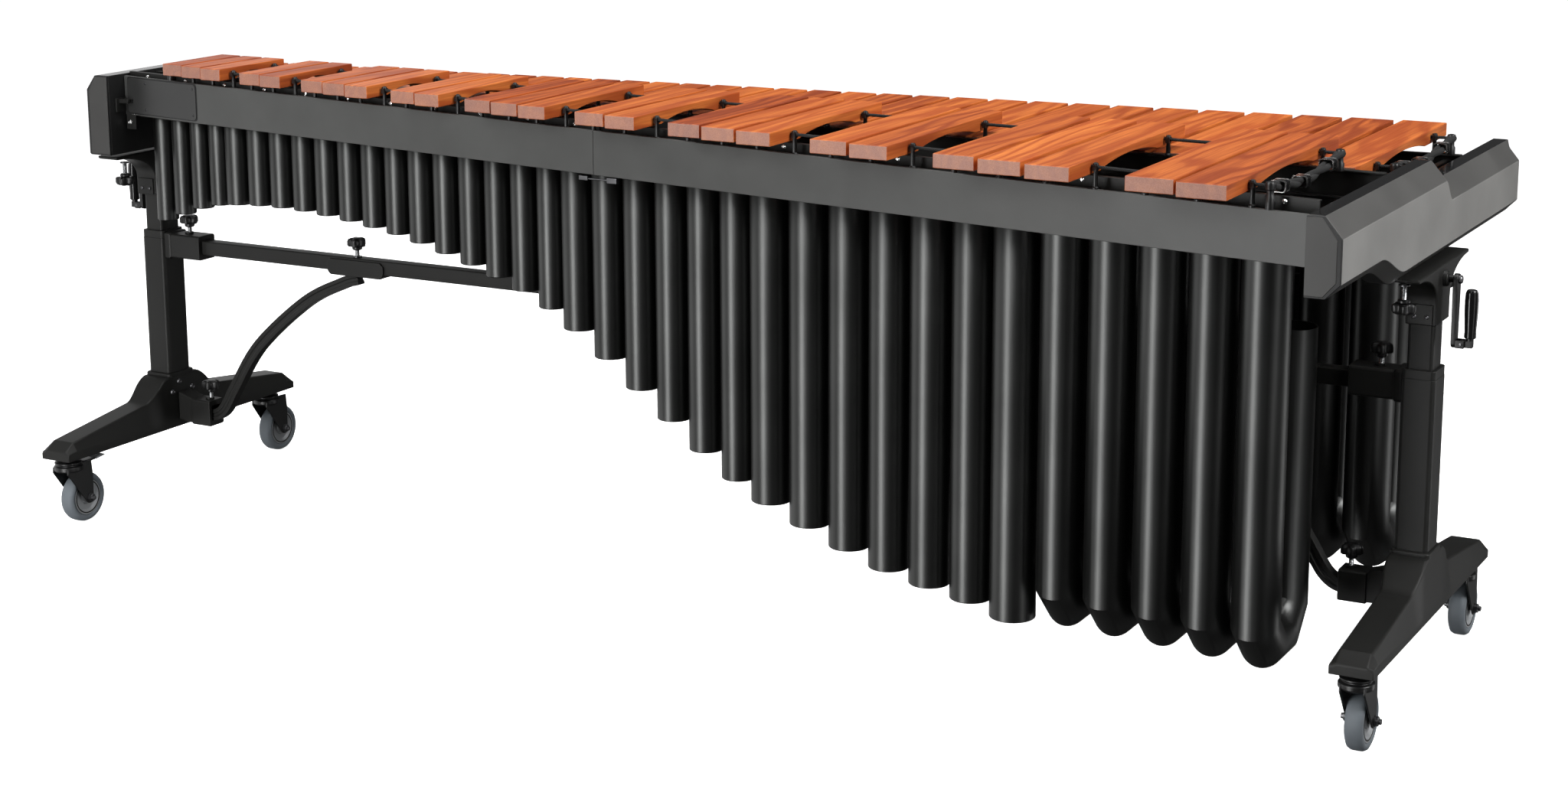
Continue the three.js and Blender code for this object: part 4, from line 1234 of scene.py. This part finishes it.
def make_foot(end, side):
    """A cast foot: two tapering legs that sweep up to a saddle under the column."""
    low, high = node_box(f"{end}_end_foot")
    cx = (low.x + high.x) / 2
    profile = [
        (low.y, 156), (low.y + 3, 160), (low.y + 25, 175), (-95, 203), (-22, high.z),
        (60, high.z), (133, 205), (high.y - 25, 178), (high.y - 3, 160), (high.y, 156),
    ]
    stations = {point[0] for point in profile} | {-250, -200, -150, 190, 240, 290}
    for start in FOOT_SWEEPS:
        stations |= {start + FOOT_SWEEP_LENGTH * k / 12 for k in range(13)}
    foot = Build("frame_black")
    rings = []
    crease, bottom = FOOT_CREASE_HALF, low.z
    for y in sorted(stations):
        top = foot_height(y, profile)
        shoulder = 27 + 6 * ease((top - 200) / 40)
        mid = min(top - 4, bottom + FOOT_CREASE)
        rings.append([
            (cx + a, y, z) for a, z in (
                (-crease, bottom), (-crease, mid), (-shoulder, top - 2), (-shoulder + 3, top),
                (shoulder - 3, top), (shoulder, top - 2), (crease, mid), (crease, bottom),
            )
        ])
    foot.loft(rings)
    foot.object(f"{end}_foot_casting", BASE_BODY, bevel=1.5, replaces=[f"{end}_end_foot"],
                slot="black_frame", sharp=24)
    collar = Build("frame_black")
    collar.loft([
        [(cx + a, 18 + b, z) for a, b in rounded(33 + grow, 38 + grow, 8)]
        for z, grow in ((high.z - 3, 0), (high.z + 5, 0), (high.z + 7, -2.5))
    ])
    collar.use("dark_steel")
    for y in STEMS.values():
        collar.lathe((cx, y, low.z - 2), (0, 0, 1), [(3, 0), (10, 0), (10, 3), (3, 3)], 6)
    for y, z in FOOT_BOLTS:
        collar.screw((cx - side * 34, y, z), (-side, 0, 0.1), 6.0, 4.0)
    collar.object(f"{end}_foot_collar", BASE_BODY, bevel=1.0, slot="black_frame", sharp=50)


BEAM_WALL = 2.5


def make_beam():
    """The stretcher beam, a square tube with round corners."""
    low, high = node_box("stretcher_beam")
    middle = ((low.y + high.y) / 2, (low.z + high.z) / 2)
    half = (high.y - low.y) / 2
    inside = half - BEAM_WALL
    beam = Build("frame_black")
    beam.sleeve("x", middle, low.x, high.x, rounded(half, half, 3), rounded(inside, inside, 1.5))
    beam.object("stretcher_beam_tube", BASE_BODY, replaces=["stretcher_beam"], slot="black_frame", sharp=50)


# A brace's middle line as (x, z), and its section as (across, along the curve's normal).
BRACE_POINTS = [
    (1240, 170), (1212, 170), (1190, 174), (1172, 187), (1157, 208),
    (1140, 236), (1071, 334), (947, 437), (850, 485), (812, 497),
]
BRACE_SECTION = [
    (-10.5, -12), (10.5, -12), (10.5, -4), (8.8, -3), (8.8, 3), (10.5, 4),
    (10.5, 12), (-10.5, 12), (-10.5, 4), (-8.8, 3), (-8.8, -3), (-10.5, -4),
]
BRACE_SADDLE = (742, 880)
SADDLE_CHEEK = (14.9, 18.9)      # a cheek's two faces, from the beam's middle
SADDLE_CHAMFER = 8


def smooth_path(points, per_span=8):
    """A Catmull-Rom curve through points."""
    points = [Vector(point) for point in points]
    padded = [2 * points[0] - points[1], *points, 2 * points[-1] - points[-2]]
    path = []
    for a, b, c, d in zip(padded, padded[1:], padded[2:], padded[3:]):
        for k in range(per_span):
            t = k / per_span
            path.append(0.5 * (2 * b + (c - a) * t + (2 * a - 5 * b + 4 * c - d) * t**2
                               + (3 * b - a - 3 * c + d) * t**3))
    path.append(points[-1])
    return path


def make_brace(end, side):
    """A curved brace with grooved faces, its saddle on the beam, and its bracket on the foot."""
    beam_low, beam_high = node_box("stretcher_beam")
    cy = (beam_low.y + beam_high.y) / 2
    path = smooth_path([(side * x, cy, z) for x, z in BRACE_POINTS])
    brace = Build("frame_black").sweep(path, BRACE_SECTION)
    x0, x1 = sorted(side * x for x in BRACE_SADDLE)
    bottom = beam_low.z - 7.5
    cheek = []
    steps = 8
    for k in range(steps + 1):
        angle = math.pi / 2 * k / steps
        cheek.append((12 * (1 - math.sin(angle)), 16 * (1 - math.cos(angle))))
    top, cut = beam_high.z - 4, SADDLE_CHAMFER
    outline = [(x0 + a, bottom + b) for a, b in reversed(cheek)]
    outline += [(x1 - a, bottom + b) for a, b in cheek]
    outline += [(x1, top - cut), (x1 - cut, top), (x0 + cut, top), (x0, top - cut)]
    for way in (-1, 1):
        brace.prism("y", outline, *(cy + way * face for face in SADDLE_CHEEK))
    brace.box(x0 + cut, x1 - cut, cy - 18.5, cy + 18.5, bottom, bottom + 7)
    brace.object(f"{end}_brace_bar", BASE_BODY, bevel=1.0, replaces=[f"{end}_end_brace"], slot="black_frame")
    make_brace_bracket(end, side, cy)


BRACKET_BOSS_X = 1214
BRACKET_TONGUE_X = (1240, 1262)  # where the tongue starts, and where it bends
BRACKET_SLEEVE_X = 1246          # where the boxed socket ends


def make_brace_bracket(end, side, cy):
    """The bracket on the foot: a boxed socket on a curved tongue, that takes the brace's lower end."""
    low, high = node_box(f"{end}_end_brace_socket")
    mouth, root = (low.x, high.x) if side > 0 else (high.x, low.x)
    bracket = Build("frame_black")
    middle = (low.z + high.z) / 2 - 8
    outlines = rounded(22, 27, 4), rounded(13, 15, 2)
    bracket.sleeve("x", (cy, middle), mouth, side * BRACKET_SLEEVE_X, *outlines)
    start, bend = (side * x for x in BRACKET_TONGUE_X)
    bracket.prism("y", [
        (start, middle - 25), (bend, middle - 24), (root, 156),
        (root, 214), (bend, 208), (start, middle + 25),
    ], cy - 19, cy + 19)
    boss = [(side * BRACKET_BOSS_X, cy, middle + rise) for rise in (25, 31)]
    bracket.rod(*boss, 9, 24)
    bracket.object(f"{end}_brace_bracket", BASE_BODY, bevel=1.5, replaces=[f"{end}_end_brace_socket"],
                   slot="black_frame")


# ---------- knobs ----------
KNOB_RADIUS = 19.6
KNOB_HEIGHT = 17
KNOB_THREAD = (4.4, 3.8, 1.6)


def make_knob(node):
    """A star knob with a crowned head, a stepped neck, and a steel screw."""
    low, high = node_box(node)
    x, y = (low.x + high.x) / 2, (low.y + high.y) / 2
    hangs = "panel" in node
    root = low.z + KNOB_HEIGHT if hangs else high.z - KNOB_HEIGHT
    neck = (root, root + 7) if hangs else (root - 7, root + 1)
    knob = Build("plastic_black").star((x, y, root), KNOB_RADIUS, -KNOB_HEIGHT if hangs else KNOB_HEIGHT)
    knob.turn(x, y, [(8, neck[0]), (10, neck[0] + 2), (10, neck[1] - 2), (8, neck[1])], 24)
    knob.use("steel")
    stem = (neck[1] - 1, high.z) if hangs else (low.z, neck[0] + 1)
    knob.turn(x, y, thread_profile(*stem, *KNOB_THREAD), 16)
    knob.use("dark_steel")
    washer = stem[1] - 2.4 if hangs else stem[0]
    knob.lathe((x, y, washer), (0, 0, 1), [(3, 0), (9, 0), (9, 1.8), (3, 1.8)], 24)
    knob.object(f"{node}_star", node, replaces=[node], slot="black_plastic", sharp=40)


# ---------- casters ----------
def make_caster(end, place):
    """A swivel caster: housing, fork, wheel with tread and hub, axle and nuts, and a brake in front."""
    key = f"{end}_{place}"
    low, high = node_box(f"{key}_tread")
    cx, cy, cz = (low.x + high.x) / 2, (low.y + high.y) / 2, (low.z + high.z) / 2
    radius, half = (high.z - low.z) / 2, (high.x - low.x) / 2
    tread = Build("tread_grey")
    tread.lathe((cx, cy, cz), (1, 0, 0), [
        (36.2, -half + 3), (39, -half), (radius - 7, -half), (radius - 2.5, -half + 2),
        (radius - 0.3, -half + 6.5), (radius, -half + 10), (radius, half - 10), (radius - 0.3, half - 6.5),
        (radius - 2.5, half - 2), (radius - 7, half), (39, half), (36.2, half - 3),
    ], 64, wrap=True)
    tread.object(f"{key}_tyre", f"{key}_wheel", replaces=[f"{key}_tread"], slot="grey_tread", sharp=50)
    hub = Build("hub_grey")
    hub.lathe((cx, cy, cz), (1, 0, 0), [
        (6, -half + 3), (13, -half + 3), (15, -half + 6), (26, -half + 6),
        (30, -half + 1.5), (35.8, -half + 1.5), (35.8, half - 1.5), (30, half - 1.5),
        (26, half - 6), (15, half - 6), (13, half - 3), (6, half - 3),
    ], 48, wrap=True)
    hub.use("deep_black")
    ring = [(31, half - 2), (33.4, half - 2), (33.4, half - 0.9), (31, half - 0.9)]
    for way in (-1, 1):
        hub.lathe((cx, cy, cz), (way, 0, 0), ring, 48, wrap=True)
    hub.object(f"{key}_wheel_hub", f"{key}_wheel", replaces=[f"{key}_hub"], slot="grey_hub", sharp=40)
    make_fork(end, place, key, cx, cy, cz, half)


FORK_CHEEK = (2.6, 6)    # a cheek's two faces, from the wheel's side


def make_fork(end, place, key, cx, cy, cz, half):
    """The swivel housing, its two cheeks, and the steel axle with a nut at each end."""
    stem_y = STEMS[place]
    top = node_box(f"{key}_fork")[1].z
    fork = Build("plastic_black")
    fork.turn(cx, stem_y, [
        (5, 112), (26, 112), (29, 115), (29, 122), (27, 124), (24, 125),
        (24, 127), (27, 128), (27, 131), (20, 134), (5, 134),
    ], 40)
    outline = [(stem_y - 23, 121), (stem_y - 24, 110)]
    steps = 8
    for k in range(steps + 1):
        angle = math.radians(215) + math.radians(110) * k / steps
        outline.append((cy + 12 * math.cos(angle), cz + 12 * math.sin(angle)))
    outline += [(cy + 11, 96), (cy + 8, 126), (stem_y + 22, 127)]
    for way in (-1, 1):
        fork.prism("x", outline, *(cx + way * (half + gap) for gap in FORK_CHEEK))
    fork.box(cx - half - 5.8, cx + half + 5.8, stem_y - 22, stem_y + 21, 112.5, 118)
    fork.object(f"{key}_caster_fork", f"{key}_caster", bevel=1.2, replaces=[f"{key}_fork"],
                slot="black_plastic")
    metal = Build("silver")
    washer = [(14, top - 5.6), (17, top - 4.8), (17, top - 2.2), (14, top - 1.4)]
    metal.turn(cx, stem_y, washer, 32)
    metal.use("dark_steel")
    metal.rod((cx, stem_y, 128), (cx, stem_y, top), 8, 24)
    metal.rod((cx - half - 8, cy, cz), (cx + half + 8, cy, cz), 4, 20)
    for way in (-1, 1):
        metal.lathe((cx + way * (half + 6), cy, cz), (way, 0, 0), [
            (9, -0.2), (9, 2), (8, 2.2), (8, 6), (5, 7), (4.5, 11), (2, 11.5),
        ], 12)
    metal.object(f"{key}_caster_metal", f"{key}_caster", slot="steel", sharp=40)
    if place == "front":
        make_brake(key, cx, stem_y)


PEDAL_REACH = 30         # how far the pedal reaches past its solid core
PEDAL_PIVOT = 34         # from the caster's stem


def make_brake(key, cx, stem_y):
    """The brake pedal on its cross pin, with three ribs on its pale tip."""
    low, high = node_box(f"{key}_brake_pedal")
    pedal = Build("plastic_black")
    pivot = stem_y + PEDAL_PIVOT
    tip = high.y + PEDAL_REACH
    arm = [(pivot - 3, 119), (pivot + 3, 118.5), (tip - 22, 120.5), (tip - 22, 124), (pivot, 124.6)]
    pedal.prism("x", arm, cx - 9, cx + 9)
    pedal.rod((low.x, pivot, 121), (high.x, pivot, 121), 2.8, 16)
    pedal.use("hub_grey")
    tread = [(tip - 24, 121), (tip, 124), (tip, 126), (tip - 4, 127.5), (tip - 24, 125)]
    pedal.prism("x", tread, cx - 12, cx + 12)
    for k in range(3):
        pedal.box(cx - 10, cx + 10, tip - 8 - 5 * k, tip - 6 - 5 * k, 125, 127.6)
    pedal.object(f"{key}_brake_lever", f"{key}_brake", bevel=0.7, replaces=[f"{key}_brake_pedal"],
                 slot="grey_hub")


# ---------- stage ----------
WORLD_LIGHT = 0.06
# Each box: bearing from the audience side towards the low end, distance, height, width, tallness, watts.
LIGHT_BOXES = {
    "key_box": (-12.5, 4.4, 0.2, 1.1, 4.6, 160),
    "left_fill": (-72, 4.4, 0.2, 3.6, 4.4, 58),
    "left_back_fill": (-118, 4.6, 0.2, 3.6, 4.4, 40),
    "right_strip": (74, 4.2, 0.2, 0.8, 4.0, 14),
    "rim_strip": (125, 4.7, 0.2, 1.0, 4.0, 30),
    "front_high": (-10, 4.6, 3.3, 4.0, 1.6, 110),
    "end_high": (82, 4.4, 2.9, 2.2, 1.8, 150),
}
TOP_BOX = ((0.0, 0.2, 3.6), (5.0, 2.4), 150)
AIM = Vector((0, 0, 0.6))        # where every box points


def add_light(name, place, size, watts):
    """A soft box that faces the object."""
    light = bpy.data.lights.new(name, "AREA")
    light.shape = "RECTANGLE"
    light.size, light.size_y = size
    light.energy = watts
    lamp = bpy.data.objects.new(name, light)
    lamp.location = place
    lamp.rotation_mode = "QUATERNION"
    lamp.rotation_quaternion = (AIM - Vector(place)).to_track_quat("-Z", "Y")
    bpy.context.scene.collection.objects.link(lamp)


def glowing(name, strength, tint):
    """A pale studio surface that glows a little by itself."""
    nodes = Nodes(name, 0.9, 0.0, 0.1)
    speckle = nodes.noise(nodes.place(), 4.0, 2.0)
    nodes.colour(nodes.ramp(speckle, [(0.3, shade(tint, 0.98)), (0.7, tint)]))
    nodes.shader.inputs["Emission Color"].default_value = (1, 1, 1, 1)
    nodes.shader.inputs["Emission Strength"].default_value = strength
    return nodes.material


def stage_sheet(name, corners, material):
    """A flat sheet that the camera sees, and that the light and the reflections pass."""
    mesh = bpy.data.meshes.new(name)
    mesh.from_pydata(corners, [], [(0, 1, 2, 3)])
    mesh.materials.append(material)
    sheet = bpy.data.objects.new(name, mesh)
    sheet.visible_diffuse = False
    sheet.visible_glossy = False
    sheet.visible_shadow = False
    bpy.context.scene.collection.objects.link(sheet)


def make_stage():
    """A pale floor and backdrop, and soft boxes round and above the object."""
    world = bpy.data.worlds.new("studio")
    world.use_nodes = True
    world.node_tree.nodes["Background"].inputs["Color"].default_value = (1, 1, 1, 1)
    world.node_tree.nodes["Background"].inputs["Strength"].default_value = WORLD_LIGHT
    bpy.context.scene.world = world
    bpy.context.scene.view_settings.view_transform = "Standard"
    reach, height = 20, 16
    pale = glowing("pale_studio", 0.96, (0.9, 0.9, 0.9))
    ring = [(-reach, -reach), (reach, -reach), (reach, reach), (-reach, reach)]
    stage_sheet("floor", [(x, y, 0) for x, y in ring], pale)
    backdrop = glowing("pale_backdrop", 1.0, (0.9, 0.9, 0.9))
    for k, (x0, y0) in enumerate(ring):
        x1, y1 = ring[k - 1]
        corners = [(x0, y0, 0), (x1, y1, 0), (x1, y1, height), (x0, y0, height)]
        stage_sheet(f"backdrop_{k}", corners, backdrop)
    for name, (bearing, distance, height, width, tall, watts) in LIGHT_BOXES.items():
        angle = math.radians(bearing)
        place = (distance * math.sin(angle), -distance * math.cos(angle), height)
        add_light(name, place, (width, tall), watts)
    add_light("top_box", *TOP_BOX)


def main():
    """Sets the stage and builds the whole object on it."""
    make_camera()
    make_stage()
    make_cords(bar_rows())
    make_resonators()
    make_rails()
    for end, side in ENDS.items():
        make_panel(end, side)
        make_head(end, side)
        make_column(end, side)
        make_screw_and_crank(end, side)
        make_foot(end, side)
        make_brace(end, side)
        for place in STEMS:
            make_caster(end, place)
    make_beam()
    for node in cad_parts:
        if node.endswith("knob"):
            make_knob(node)


main()
